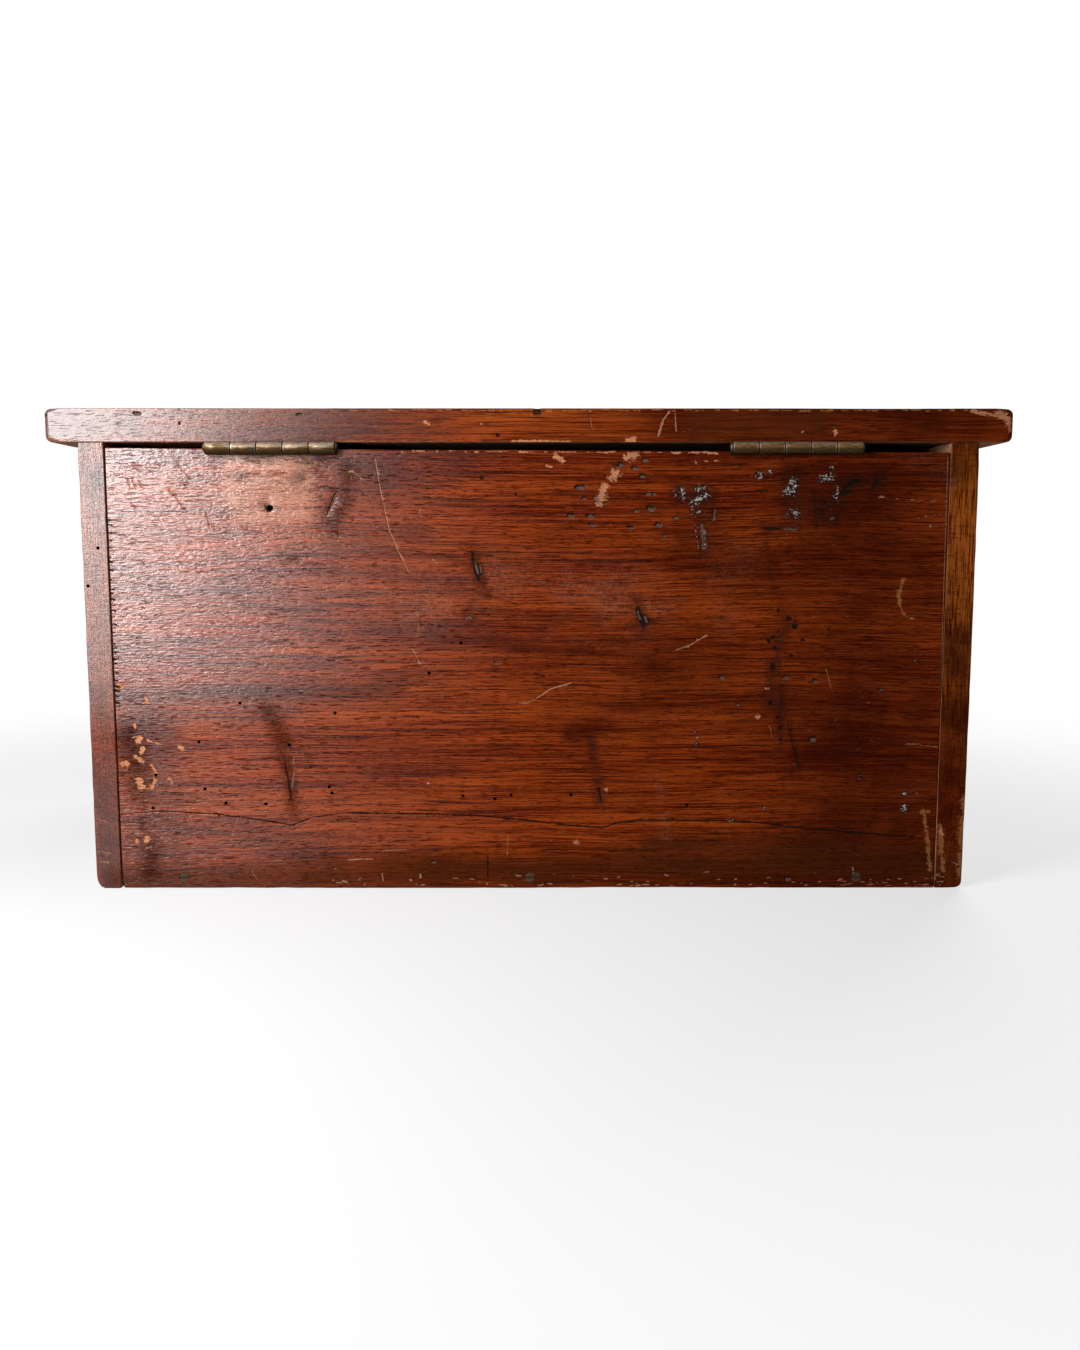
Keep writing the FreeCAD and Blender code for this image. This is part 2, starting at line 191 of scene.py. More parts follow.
# A face of a board: the axis that it looks along, its place and direction there, and the two axes in it
Face = namedtuple("Face", "normal level outwards u v")
BACK = Face(Y, BACK_PLANE, 1, X, Z)
FINE_KINDS = ("bare", "rub", "scratch_and_highlight", "paint", "grime_and_shade", "scuff_and_reflection", "dry")
BROAD_KINDS = ("smudge", "shade", "stain_and_shade", "ghost", "haze_and_sheen")


def camera_turn(stage):
    """The camera's rotation: it stands behind the chest, looks slightly down and barely aside."""
    return (Matrix.Rotation(math.pi + stage.camera_turn, 3, "Z")
            @ Matrix.Rotation(math.pi / 2 - stage.camera_tilt, 3, "X"))


def photo_point(column, row):
    """The place on the plane of the chest's back that a pixel of the photograph shows, as (x, z)."""
    stage = bpy.context.scene.chest_stage
    ray = camera_turn(stage) @ Vector((column - PHOTO_WIDTH / 2, PHOTO_HEIGHT / 2 - row, -FOCAL_PIXELS))
    start = Vector(stage.camera_place)
    hit = start + ray * ((BACK_PLANE - start.y) / ray.y)
    return hit.x, hit.z


# Marks seen on the chest's back, by kind: width and depth in millimetres, then the column and row of each pixel
# of the photograph that the mark runs through
MARKS = {
    "scratch_and_highlight": (
        (0.55, 0.1, 375, 459, 380, 489, 389, 530, 399, 553, 403, 560), (0.8, 0.1, 400, 555, 403, 560),
        (0.4, 0.1, 404, 563, 409, 573), (0.6, 0.1, 413, 650, 416, 655), (0.4, 0.1, 416, 656, 420, 664),
        (0.35, 0.05, 416, 607, 419, 629), (0.5, 0.1, 519, 703, 526, 703, 537, 698, 545, 692, 551, 688),
        (0.75, 0.1, 537, 698, 550, 689, 560, 686, 571, 683), (0.65, 0.1, 676, 650, 690, 645, 707, 635),
        (0.3, 0.05, 826, 669, 829, 680, 832, 692), (0.22, 0.05, 874, 497, 912, 500, 947, 502),
        (0.26, 0.05, 919, 518, 931, 516, 947, 514), (0.26, 0.05, 929, 527, 938, 526, 947, 525),
        (0.4, 0.05, 184, 803, 188, 812, 192, 822), (0.3, 0.05, 240, 812, 234, 828, 230, 840),
        (0.55, 0.05, 906, 744, 920, 744), (0.35, 0.05, 920, 745, 938, 747),
        (0.35, 0.05, 342, 473, 353, 472, 364, 480), (1.1, 0.15, 669, 412, 663, 420, 658, 436),
        (0.6, 0.1, 675, 413, 676, 431), (0.3, 0.05, 590, 417, 592, 428),
        (0.6, 0.05, 348, 860, 361, 859, 373, 859), (0.45, 0.05, 381, 851, 392, 850, 405, 850),
        (0.7, 0.05, 382, 874, 383, 881), (0.4, 0.05, 508, 836, 507, 855), (0.55, 0.05, 271, 862, 281, 860),
        (0.45, 0.05, 188, 852, 196, 853), (0.3, 0.05, 252, 871, 257, 880), (0.45, 0.05, 419, 510, 420, 516),
        (0.45, 0.05, 433, 559, 436, 563), (0.3, 0.05, 770, 727, 772, 738), (0.4, 0.1, 97, 716, 103, 717),
        (0.4, 0.1, 99, 799, 104, 806), (0.4, 0.1, 98, 819, 111, 823), (0.4, 0.1, 97, 851, 111, 853),
        (0.4, 0.1, 100, 861, 109, 862), (0.6, 0.05, 335, 500, 331, 508, 328, 515),
        (0.5, 0.05, 298, 560, 303, 561), (0.4, 0.05, 952, 862, 961, 866),
        # painted highlight along the back's joint at its -X end
        (0.3, 0, 948, 455, 944, 580, 941, 690, 935, 880),
    ),
    "smudge": (
        (4, 0.25, 336, 493, 331, 506, 325, 514), (7, 0.2, 473, 552, 477, 568, 483, 588),
        (5, 0.1, 484, 585, 488, 594), (7, 0.2, 637, 600, 641, 615, 642, 630), (4, 0.1, 643, 620, 658, 622),
        (6, 0.15, 592, 740, 596, 770, 601, 802), (4, 0.1, 594, 752, 598, 776, 600, 796),
        (11, 0, 268, 710, 278, 728, 284, 742), (8, 0.2, 280, 738, 287, 764, 292, 790, 294, 812),
        (4.5, 0.1, 284, 752, 288, 775, 292, 800), (2.4, 0.1, 787, 711, 793, 740, 799, 767),
        (3, 0.1, 814, 490, 815, 505, 817, 527), (2, 0.08, 764, 535, 768, 556, 774, 590),
        (3, 0.05, 778, 640, 779, 670, 782, 700, 781, 745), (0.8, 0.05, 224, 456, 224, 478, 225, 499),
        (0.7, 0.05, 317, 466, 317, 496), (15, 0, 128, 738, 134, 760, 138, 792), (12, 0, 150, 846, 152, 868),
        (5, 0, 142, 822, 143, 829), (10, 0.1, 858, 482, 846, 484), (8, 0.1, 842, 503, 818, 503),
        (8, 0.1, 835, 517, 820, 513), (7, 0.05, 881, 475, 876, 488), (4, 0.05, 763, 527, 795, 529),
        (8, 0.05, 790, 622, 775, 640), (7, 0.05, 773, 664, 771, 704), (7, 0, 676, 484, 678, 500),
        (5, 0.05, 714, 508, 714, 522), (8, 0.05, 249, 456, 270, 457), (6, 0.05, 298, 459, 312, 464),
        (6, 0.05, 318, 456, 324, 460), (5, 0.15, 262, 504, 268, 507), (7, 0.1, 237, 477, 244, 477),
        (7, 0.1, 299, 477, 302, 477), (10, 0, 348, 470, 346, 500, 333, 524), (5, 0.05, 284, 557, 297, 559),
        (5, 0.1, 464, 614, 473, 618), (6, 0.1, 702, 518, 705, 552), (4, 0, 783, 460, 790, 480),
        (14, 0, 793, 476, 794, 518), (14, 0, 694, 494, 704, 500), (5, 0, 613, 465, 622, 464),
    ),
    # dark lines in dents and cracks: dirt, and painted shade on their dark sides
    "grime_and_shade": (
        (0.5, 0.15, 334, 495, 327, 513), (1.7, 0.25, 473, 558, 477, 570, 479, 580),
        (1.6, 0.12, 472, 553, 474, 561), (3.2, 0.12, 477, 566, 479, 573),
        (2.2, 0.25, 638, 608, 641, 620, 643, 625), (4.4, 0.15, 642, 618, 646, 621),
        (1, 0.2, 599, 788, 601, 800), (0.9, 0.1, 285, 764, 288, 778, 291, 800),
        (0.3, 0.1, 787, 721, 793, 746, 799, 766), (0.3, 0.1, 816, 493, 815, 508, 817, 527),
        (0.7, 0.05, 488, 857, 488, 876), (2.6, 0.1, 846, 487, 851, 483, 858, 481),
        (1.8, 0.08, 852, 490, 842, 494), (1.4, 0.08, 878, 479, 874, 487), (1.2, 0.08, 764, 528, 778, 529),
        (0.6, 0.05, 475, 614, 489, 615), (0.8, 0.05, 534, 674, 545, 676),
        (0.55, 0.08, 140, 813, 162, 811, 217, 814, 255, 819, 292, 825, 315, 817, 345, 813),
        (0.8, 0.12, 345, 813, 437, 814, 484, 816, 525, 820, 567, 825, 603, 828, 617, 823, 640, 820, 680,
         820, 731, 821, 762, 823, 802, 828, 859, 833, 915, 837),
    ),
    # pale middles of dents and facets, painted reflections; the spots at row 477 are filler in old screw holes
    "scuff_and_reflection": (
        (0.8, 0, 475, 562, 478, 573), (0.7, 0, 480, 566, 481, 572), (1, 0, 638, 612, 640, 619),
        (0.9, 0, 645, 617, 647, 622), (0.9, 0, 294, 757, 293, 765), (1, 0, 294, 772, 292, 786),
        (0.8, 0, 784, 529, 796, 530), (1, 0, 715, 510, 714, 520), (0.8, 0, 302, 462, 308, 465),
        (1, 0, 320, 457, 323, 459), (1.9, 0, 241, 477), (2.4, 0, 301, 477), (1.8, 0.15, 467, 618, 471, 618),
        (2.2, 0.1, 702, 526, 705, 547), (1.8, 0.1, 596, 498, 598, 502),
    ),
    "dry": (
        (2.4, 0.05, 134, 465, 141, 470), (1.2, 0.05, 156, 463, 160, 465), (1, 0.05, 128, 480, 130, 488),
        (1.2, 0.05, 133, 479, 136, 489), (1.2, 0.05, 139, 481, 143, 488), (0.9, 0.05, 131, 503, 136, 508),
        (0.8, 0.05, 176, 461, 182, 470, 189, 477), (0.8, 0.05, 169, 490, 176, 497, 184, 509),
        (0.7, 0.05, 182, 482, 187, 488), (0.8, 0.05, 206, 511, 210, 528), (1.2, 0.05, 250, 473, 260, 473),
        (1.4, 0.05, 274, 474, 284, 473), (0.6, 0.05, 318, 531, 338, 531, 338, 540),
        (3.4, 0.05, 439, 793, 440, 796),
    ),
    "paint": (
        (2.8, 0, 681, 490, 682, 496), (2.8, 0, 698, 490, 704, 488), (2.8, 0, 692, 503, 700, 500, 707, 494),
        (2.4, 0, 693, 511, 698, 512), (0.4, 0, 693, 513, 696, 530, 699, 550), (0.9, 0, 704, 532, 705, 546),
        (3.2, 0, 793, 480, 792, 494), (2.4, 0, 787, 491, 797, 485), (3.4, 0, 793, 513, 795, 515),
        (2.8, 0, 757, 475, 761, 475), (1.4, 0, 770, 470, 770, 473), (1.8, 0, 832, 468),
        (3, 0, 822, 479, 831, 478), (0.8, 0, 838, 486, 837, 498), (1, 0, 697, 732), (0.9, 0, 697, 738),
        (1.8, 0, 697, 743, 697, 745), (1.8, 0, 905, 794), (0.8, 0, 911, 794, 917, 794),
        (2.4, 0, 904, 807, 904, 811), (1.5, 0, 862, 776), (1.4, 0, 853, 869, 853, 873), (1.2, 0, 764, 808),
        (1.2, 0, 729, 820, 733, 820), (0.9, 0, 541, 881), (0.9, 0, 915, 661), (0.9, 0, 930, 682),
    ),
    "bare": (
        (4.4, 0.12, 615, 474, 613, 478), (4.4, 0.12, 604, 487, 601, 498), (2, 0.12, 597, 503, 601, 504),
        (3.2, 0.1, 637, 455, 626, 457), (2.6, 0.1, 555, 456, 562, 460), (1.4, 0.1, 546, 466, 551, 467),
        (1, 0.1, 512, 441, 540, 441, 570, 442), (2.8, 0.15, 627, 441, 634, 439),
        (2, 0.15, 972, 411, 985, 414, 1003, 416), (3.6, 0.15, 998, 413, 1008, 420),
        (1.6, 0.15, 1009, 418, 1010, 432), (1.6, 0.1, 835, 431, 836, 434), (1, 0.1, 802, 432),
        (1.5, 0.1, 425, 422, 428, 424), (0.9, 0.1, 481, 424), (1.6, 0.1, 135, 724, 135, 728),
        (3.4, 0.1, 138, 738, 138, 741), (0.9, 0.1, 147, 740, 152, 742), (0.8, 0.1, 156, 743, 160, 744),
        (2, 0.1, 143, 748, 141, 753), (2, 0.1, 136, 757, 143, 761), (2.6, 0.1, 123, 764, 127, 764),
        (1.5, 0.1, 151, 765, 156, 773), (3.2, 0.1, 139, 780, 142, 787), (2, 0.1, 155, 780, 152, 788),
        (1.8, 0.1, 179, 747, 182, 748), (0.8, 0.1, 168, 778, 171, 781), (2.4, 0.1, 145, 841, 148, 838),
        (1.4, 0.1, 137, 839, 137, 842), (0.7, 0.1, 146, 848, 151, 847), (2.2, 0.1, 119, 685, 122, 687),
        (1.6, 0.1, 145, 698, 147, 702), (0.8, 0.1, 694, 464, 699, 462), (0.9, 0.1, 702, 460, 707, 461),
        (0.7, 0.1, 714, 461, 722, 460), (1.6, 0.1, 940, 830, 943, 834), (1.4, 0.15, 964, 822, 963, 840),
        (1, 0.05, 605, 789, 607, 792), (2.4, 0.05, 576, 842), (1.8, 0.05, 758, 717),
        (1, 0.05, 766, 689, 769, 689), (1.2, 0.05, 428, 783),
    ),
    "rub": (
        (2.4, 0.05, 922, 812, 928, 812), (2, 0.05, 925, 815, 926, 828, 928, 843),
        (2.2, 0.05, 928, 846, 930, 870), (2.6, 0.1, 940, 826, 941, 852), (2.4, 0.1, 942, 858, 943, 870),
        (4.4, 0.15, 965, 800, 963, 830, 961, 876), (2, 0.05, 903, 580, 899, 594, 900, 606),
        (1, 0.05, 900, 606, 905, 616, 913, 619),
    ),
    "ghost": (
        (10, 0, 232, 464, 306, 464), (10, 0, 232, 482, 306, 482), (10, 0, 232, 498, 306, 498),
        (10, 0, 240, 514, 306, 514),
    ),
    # darker patches; those towards the -X end of the back, its end board and the lid are painted shade where
    # the window light falls off
    "shade": (
        (10, 0, 118, 696, 220, 692, 330, 690, 400, 686), (8, 0, 430, 636, 540, 648, 650, 656),
        (6, 0, 470, 606, 540, 618, 600, 618), (60, 0, 670, 660, 770, 690), (40, 0, 700, 540, 760, 580),
        (30, 0, 958, 700, 952, 820), (30, 0, 918, 560, 925, 720, 926, 860), (60, 0, 705, 420, 960, 420),
        (32, 0, 60, 424, 440, 424), (16, 0, 93, 470, 98, 640, 108, 880),
        (120, 0, 850, 520, 880, 700, 880, 860), (26, 0, 960, 640, 955, 860),
        (34, 0, 790, 480, 860, 480, 940, 474), (20, 0, 820, 490, 850, 500),
        (34, 0, 142, 725, 154, 785, 150, 865), (16, 0, 345, 476, 330, 520),
        (14, 0, 775, 560, 785, 640, 780, 720), (13, 0, 236, 424, 300, 427), (26, 0, 345, 470, 380, 478),
        (16, 0, 330, 540, 420, 535), (12, 0, 570, 735, 596, 728),
    ),
    # brown dirt along the foot; the last row darkens the lid's edge towards its -X end as painted shade
    "stain_and_shade": (
        (22, 0, 330, 874, 530, 868, 720, 864, 950, 868), (18, 0, 120, 880, 330, 876),
        (14, 0, 650, 844, 800, 852, 930, 856), (20, 0, 700, 424, 812, 424),
    ),
    # whitish haze in the varnish, partly painted sheen in fine glints
    "haze_and_sheen": (
        (40, 0, 500, 590, 600, 600, 640, 610), (26, 0, 728, 560, 735, 620), (40, 0, 350, 560, 430, 600),
        (3.6, 0, 212, 735, 250, 739, 275, 745, 290, 753), (6, 0, 165, 775, 182, 792, 205, 800, 236, 796),
        (5, 0, 210, 790, 233, 797), (6, 0, 658, 780, 661, 792), (4, 0, 664, 815, 666, 838),
        (16, 0, 925, 460, 940, 480),
    ),
}
# Chips out of the varnish, each a painted shadow on its upper lip over a painted reflection on its facet:
# pixel, then width in millimetres
CHIPS = (
    (580, 486, 4.4), (571, 515, 3.4), (591, 515, 3.6), (592, 524, 3.0), (635, 467, 3.4), (643, 475, 3.6),
    (621, 464, 2.8), (645, 459, 3.2), (648, 493, 2.6), (654, 493, 2.6), (651, 507, 4.8), (637, 510, 2.6),
    (659, 524, 3.6), (630, 527, 3.0), (584, 498, 2.2), (676, 517, 2.6), (664, 535, 2.0), (605, 503, 2.0),
    (722, 677, 2.8), (785, 677, 2.8), (813, 738, 3.8), (815, 681, 2.4), (137, 413, 3.2), (300, 414, 2.6),
    (738, 704, 1.8), (881, 689, 2.0), (434, 861, 2.4), (398, 454, 2.2), (788, 878, 3.0), (832, 517, 2.6),
    (496, 662, 2.4), (758, 473, 2.6),
)
# Dark pits, of dirt and painted shade: pixel, then width in millimetres
PITS = (
    (482, 478, 1.4), (516, 494, 1.2), (779, 610, 2.2), (789, 619, 2.6), (795, 626, 2.6), (773, 637, 2.6),
    (769, 641, 2.4), (775, 648, 1.8), (774, 666, 3.0), (771, 703, 2.4), (778, 717, 2.0), (780, 728, 1.8),
    (781, 740, 2.0), (803, 640, 1.8), (791, 656, 2.0), (829, 630, 1.8), (715, 515, 1.6), (180, 423, 1.4),
    (45, 415, 2.0), (498, 435, 2.0), (826, 503, 1.6), (836, 503, 1.4), (845, 486, 1.8), (853, 482, 1.8),
    (757, 491, 1.2), (762, 491, 1.2), (767, 490, 1.2), (269, 508, 3.4),
)
# The left end of the back stands open from its neighbour, and is torn between these rows; the tears are painted
# dark, as painted shadow
TORN_JOINT = ((104, 447), (125, 886))
TORN_ROWS = (520, 706)
INSECT_HOLES = (
    (98, 548), (88, 586), (240, 703), (335, 713), (199, 742), (289, 745), (156, 775), (329, 787), (332, 793),
    (205, 789), (153, 808), (226, 803), (266, 804), (461, 643), (429, 673), (463, 796), (495, 799), (511, 795),
    (571, 795), (687, 805),
)
OLD_SCREW_HOLE = (270, 508)
OLD_SCREW_RADIUS = 0.0015
FOOT_ROW = 886


def torn_joint():
    """Teeth torn out of the back's end along its open joint, painted dark as painted shadow."""
    draw = random.Random(9)
    (column0, row0), (column1, row1) = TORN_JOINT
    rows, row = [], TORN_ROWS[0]
    while row < TORN_ROWS[1]:
        column = column0 + (column1 - column0) * (row - row0) / (row1 - row0)
        reach = draw.uniform(0.5, 4.0)
        rows.append(("grime_and_shade", draw.uniform(0.5, 1.0), 0.3, ((column, row), (column + reach, row + reach / 5))))
        row += draw.uniform(3.5, 12.0)
    return rows


def foot_flecks():
    """Pale flecks along the back's lower edge, where it has been knocked."""
    draw = random.Random(5)
    rows = []
    for _ in range(90):
        column, row = 940 - 620 * draw.random() ** 1.5, FOOT_ROW - abs(draw.gauss(0, 6))
        reach, rise = draw.uniform(0.5, 5), draw.uniform(-0.6, 0.6)
        width = draw.uniform(0.35, 0.75)
        rows.append(("scratch_and_highlight", width, 0.05, ((column, row), (column + reach, row + rise))))
    return rows


def edge_flecks(kind, seed, start, stop, top, slope):
    """Flecks along an upper edge, between two columns of the photograph."""
    draw = random.Random(seed)
    rows = []
    column = start
    while column < stop:
        reach = draw.uniform(1, 11)
        row = top + (column - start) * slope + draw.uniform(-0.6, 1.0)
        rows.append((kind, draw.uniform(0.35, 0.95), 0.08, ((column, row), (column + reach, row + 0.2))))
        column += reach + draw.uniform(0.5, 12)
    return rows


def chips():
    """Small chips: a painted shadow on the upper lip over a painted reflection on the grey facet."""
    rows = []
    for column, row, width in CHIPS:
        lip = ((column - 0.6 * width, row), (column + 0.6 * width, row + 0.2 * width))
        facet = ((column - 0.3 * width, row + 0.5 * width), (column + 0.5 * width, row + 0.55 * width))
        rows.append(("grime_and_shade", 0.52 * width, 0.12 * width, lip))
        rows.append(("scuff_and_reflection", 0.48 * width, 0.04 * width, facet))
    return rows


def back_marks():
    """Every mark that the photograph shows on the chest's back, placed on its plane."""
    rows = [(kind, width, depth, tuple(zip(pixels[::2], pixels[1::2])))
            for kind, group in MARKS.items() for width, depth, *pixels in group]
    rows += torn_joint() + foot_flecks() + chips()
    rows += edge_flecks("bare", 8, 400, 722, 450.8, 0.005)
    # Painted highlight along the lid's upper back edge.
    rows += edge_flecks("rub", 12, 330, 980, 410.0, 0.0)
    rows += [("grime_and_shade", width, 0.14 * width, ((column, row),)) for column, row, width in PITS]
    return [Mark(kind, width * MILLIMETRE, depth * MILLIMETRE, [photo_point(*pixel) for pixel in pixels])
            for kind, width, depth, pixels in rows]


def scattered_marks(seed, u_range, v_range, count):
    """Random light scratches, dents and flakes for a face that the photograph doesn't show."""
    draw = random.Random(seed)
    marks = []
    for _ in range(count):
        u, v = draw.uniform(*u_range), draw.uniform(*v_range)
        kind = draw.choice(("scratch_and_highlight", "grime_and_shade", "grime_and_shade", "bare", "shade"))
        if kind == "scratch_and_highlight":
            angle, reach = draw.uniform(0, math.pi), draw.uniform(0.006, 0.034)
            bend = draw.uniform(-0.2, 0.2)
            points = [(u + math.cos(angle + bend * t) * reach * t, v + math.sin(angle + bend * t) * reach * t)
                      for t in (0, 0.5, 1)]
            marks.append(Mark(kind, draw.uniform(0.0003, 0.0006), 0.00008, points))
        elif kind == "shade":
            marks.append(Mark(kind, draw.uniform(0.008, 0.03), 0, [(u, v), (u + draw.uniform(0.01, 0.06), v)]))
        else:
            width = draw.uniform(0.0012, 0.0034)
            marks.append(Mark(kind, width, 0.16 * width, [(u, v)]))
    return marks


def distance_to(points, u, v):
    """Distances from places (u, v) to a line through points."""
    if len(points) == 1:
        return np.hypot(u - points[0][0], v - points[0][1])
    best = np.full(u.shape, np.inf)
    for (u0, v0), (u1, v1) in zip(points, points[1:]):
        du, dv = u1 - u0, v1 - v0
        along = np.clip(((u - u0) * du + (v - v0) * dv) / (du * du + dv * dv), 0, 1)
        best = np.minimum(best, np.hypot(u - u0 - along * du, v - v0 - along * dv))
    return best


# Board meshes


def edge_vectors(bm):
    return np.array([edge.verts[1].co - edge.verts[0].co for edge in bm.edges]).reshape(-1, 3)


def blank_board(low, high, wear):
    """A block with eased edges, cut into an even grid."""
    bm = bmesh.new()
    middle, size = (low + high) / 2, high - low
    bmesh.ops.create_cube(bm, size=1, matrix=Matrix.Translation(middle) @ Matrix.Diagonal((*size, 1)))
    bmesh.ops.bevel(bm, geom=bm.edges[:], offset=wear.arris, segments=2, profile=0.5, affect="EDGES",
                    material=-1)
    for axis in (X, Y, Z):
        normal = Vector((0, 0, 0))
        normal[axis] = 1
        for strip in EDGE_STRIPS:
            for level in (low[axis] + strip * wear.arris, high[axis] - strip * wear.arris):
                spot = middle.copy()
                spot[axis] = level
                bmesh.ops.bisect_plane(bm, geom=bm.verts[:] + bm.edges[:] + bm.faces[:], plane_co=spot,
                                       plane_no=normal)
    for axis in (X, Y, Z):
        runs = edge_vectors(bm)
        across = np.delete(np.abs(runs), axis, axis=1).max(axis=1)
        long = (np.abs(runs[:, axis]) > 1.5 * wear.grid) & (across < 0.1 * wear.grid)
        cuts = int(np.abs(runs[:, axis]).max() / wear.grid)
        chosen = [edge for edge, yes in zip(bm.edges[:], long) if yes]
        if chosen:
            bmesh.ops.subdivide_edges(bm, edges=chosen, cuts=cuts, use_grid_fill=True)
    return bm


def refine(bm, face, marks, wear):
    """Halves the grid, up to three times, round marks that are finer than it."""
    spacing = wear.grid
    for _ in range(3):
        fine = [mark for mark in marks if mark.kind not in BROAD_KINDS and mark.width < 4.0 * spacing]
        middles = np.array([(edge.verts[0].co + edge.verts[1].co) / 2 for edge in bm.edges])
        near = np.zeros(len(middles), bool)
        on_face = np.abs(middles[:, face.normal] - face.level) < 0.0002
        u, v = middles[on_face, face.u], middles[on_face, face.v]
        hit = np.zeros(len(u), bool)
        for mark in fine:
            hit |= distance_to(mark.points, u, v) < 0.7 * mark.width + 0.42 * spacing
        near[on_face] = hit
        chosen = [edge for edge, yes in zip(bm.edges[:], near) if yes]
        if chosen:
            bmesh.ops.subdivide_edges(bm, edges=chosen, cuts=1, use_grid_fill=True)
        spacing /= 2


def waves(points, scale, seed):
    """Smooth noise from -1 to 1 at each point. Scale is per metre along each axis."""
    table = np.random.default_rng(seed).uniform(-1, 1, (64, 64, 64))
    place_in = np.asarray(points) * np.array(scale) + 400
    cell = np.floor(place_in).astype(int)
    share = place_in - cell
    share = share * share * (3 - 2 * share)
    total = np.zeros(len(place_in))
    for corner in np.ndindex(2, 2, 2):
        near = (cell + corner) % 64
        weight = np.where(corner, share, 1 - share).prod(axis=1)
        total += weight * table[near[:, 0], near[:, 1], near[:, 2]]
    return total


def edge_distance(points, board, low, high):
    """Distance of each point from the board's nearest open edge. Sides joined to other boards don't count."""
    room = np.stack([points - np.array(low), np.array(high) - points])
    for axis, sign in board.joined:
        room[(sign + 1) // 2, :, axis] = 1
    return np.sort(room.min(axis=0), axis=1)[:, 1]


def worn(points, board, low, high):
    """The board's points with its open edges knocked round by an uneven amount."""
    wear = bpy.context.scene.chest_wear
    slow = waves(points, (18, 18, 18), board.seed)
    quick = waves(points, (130, 130, 130), board.seed + 1)
    share = np.clip(0.30 + 0.7 * slow + 0.4 * quick, 0, 1) ** 1.5
    share *= np.clip(1.5 - edge_distance(points, board, low, high) / 0.006, 0, 1)
    low, high = np.array(low), np.array(high)
    ends = np.minimum(points[:, X] - low[X], high[X] - points[:, X])
    corner = np.clip(1.6 - ends / 0.005, 0, 1) * max(board.corner - wear.arris, 0)
    radius = wear.arris + wear.edge_wear * share + corner
    core = np.clip(points, low + radius[:, None], high - radius[:, None])
    out = points - core
    reach = np.linalg.norm(out, axis=1)
    pull = np.where(reach > radius, radius / np.maximum(reach, 1e-9), 1)
    return core + out * pull[:, None]


def pressed(points, marks_by_face):
    """The points pushed in by dents, and a mask from 0 to 1 for each kind of mark."""
    masks = {kind: np.zeros(len(points)) for kind in FINE_KINDS + BROAD_KINDS}
    moved = points.copy()
    rag = 0.40 * waves(points, (420, 420, 420), 41) + 0.45 * waves(points, (1100, 1100, 1100), 43)
    for face, marks in marks_by_face:
        near = np.abs(points[:, face.normal] - face.level) < SKIN
        u, v = points[near, face.u], points[near, face.v]
        depth = np.zeros(len(u))
        for mark in marks:
            away = distance_to(mark.points, u, v) / (mark.width / 2)
            if mark.kind in BROAD_KINDS:
                mask = np.clip(1.25 - away, 0, 1)
            else:
                away = np.maximum(away + rag[near], 0)
                mask = np.clip(1 - away / 2, 0, 1)
            values = masks[mark.kind][near]
            masks[mark.kind][near] = np.maximum(values, mask)
            depth = np.maximum(depth, mark.depth * np.clip(1.15 - away * away, 0, 1))
        moved[near, face.normal] -= face.outwards * depth
    return moved, masks


def make_piece(name, bm, body, slot, *nodes):
    """A finished object from a bmesh, riding on a body and standing for its CAD nodes."""
    mesh = bpy.data.meshes.new(name)
    bm.to_mesh(mesh)
    bm.free()
    piece = bpy.data.objects.new(name, mesh)
    bpy.context.scene.collection.objects.link(piece)
    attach(piece, body)
    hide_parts(*nodes)
    return piece


def cylinder(bm, middle, axis, radius, depth, segments=14):
    """A closed rod in a bmesh, centred on a point and turned along an axis."""
    turn = Vector((0, 0, 1)).rotation_difference(axis).to_matrix().to_4x4()
    bmesh.ops.create_cone(bm, cap_ends=True, segments=segments, radius1=radius, radius2=radius, depth=depth,
                          matrix=Matrix.Translation(middle) @ turn)


def box(bm, low, high):
    """A block in a bmesh between two corners."""
    middle, size = (Vector(low) + Vector(high)) / 2, Vector(high) - Vector(low)
    bmesh.ops.create_cube(bm, size=1, matrix=Matrix.Translation(middle) @ Matrix.Diagonal((*size, 1)))


def carve(piece, cutter):
    """Takes the cutter's shapes out of a piece for good."""
    mesh = bpy.data.meshes.new("cutter")
    cutter.to_mesh(mesh)
    cutter.free()
    tool = bpy.data.objects.new("cutter", mesh)
    bpy.context.scene.collection.objects.link(tool)
    cut = piece.modifiers.new("holes", "BOOLEAN")
    cut.operation = "DIFFERENCE"
    cut.solver = "EXACT"
    cut.object = tool
    depsgraph = bpy.context.evaluated_depsgraph_get()
    carved = bpy.data.meshes.new_from_object(piece.evaluated_get(depsgraph))
    piece.modifiers.remove(cut)
    old = piece.data
    piece.data = carved
    bpy.data.meshes.remove(old)
    bpy.data.objects.remove(tool)
    bpy.data.meshes.remove(mesh)


def vertex_array(mesh):
    flat = np.empty(len(mesh.vertices) * 3, np.float32)
    mesh.vertices.foreach_get("co", flat)
    return flat.reshape(-1, 3).astype(float)


def paint_masks(mesh, masks):
    """Stores each mask as an attribute that the finishes read."""
    for name, values in masks.items():
        layer = mesh.attributes.new(name, "FLOAT", "POINT")
        layer.data.foreach_set("value", np.ascontiguousarray(values, np.float32))


# A board: its CAD node, body, seed of its wear, finish, direction of the inside, sides that other boards cover,
# rounding of its ends, marks on its faces, last change of shape, and holes
Board = namedtuple("Board", "node body seed finish inside joined corner marks_by_face shape holes",
                   defaults=((), 0, (), None, None))


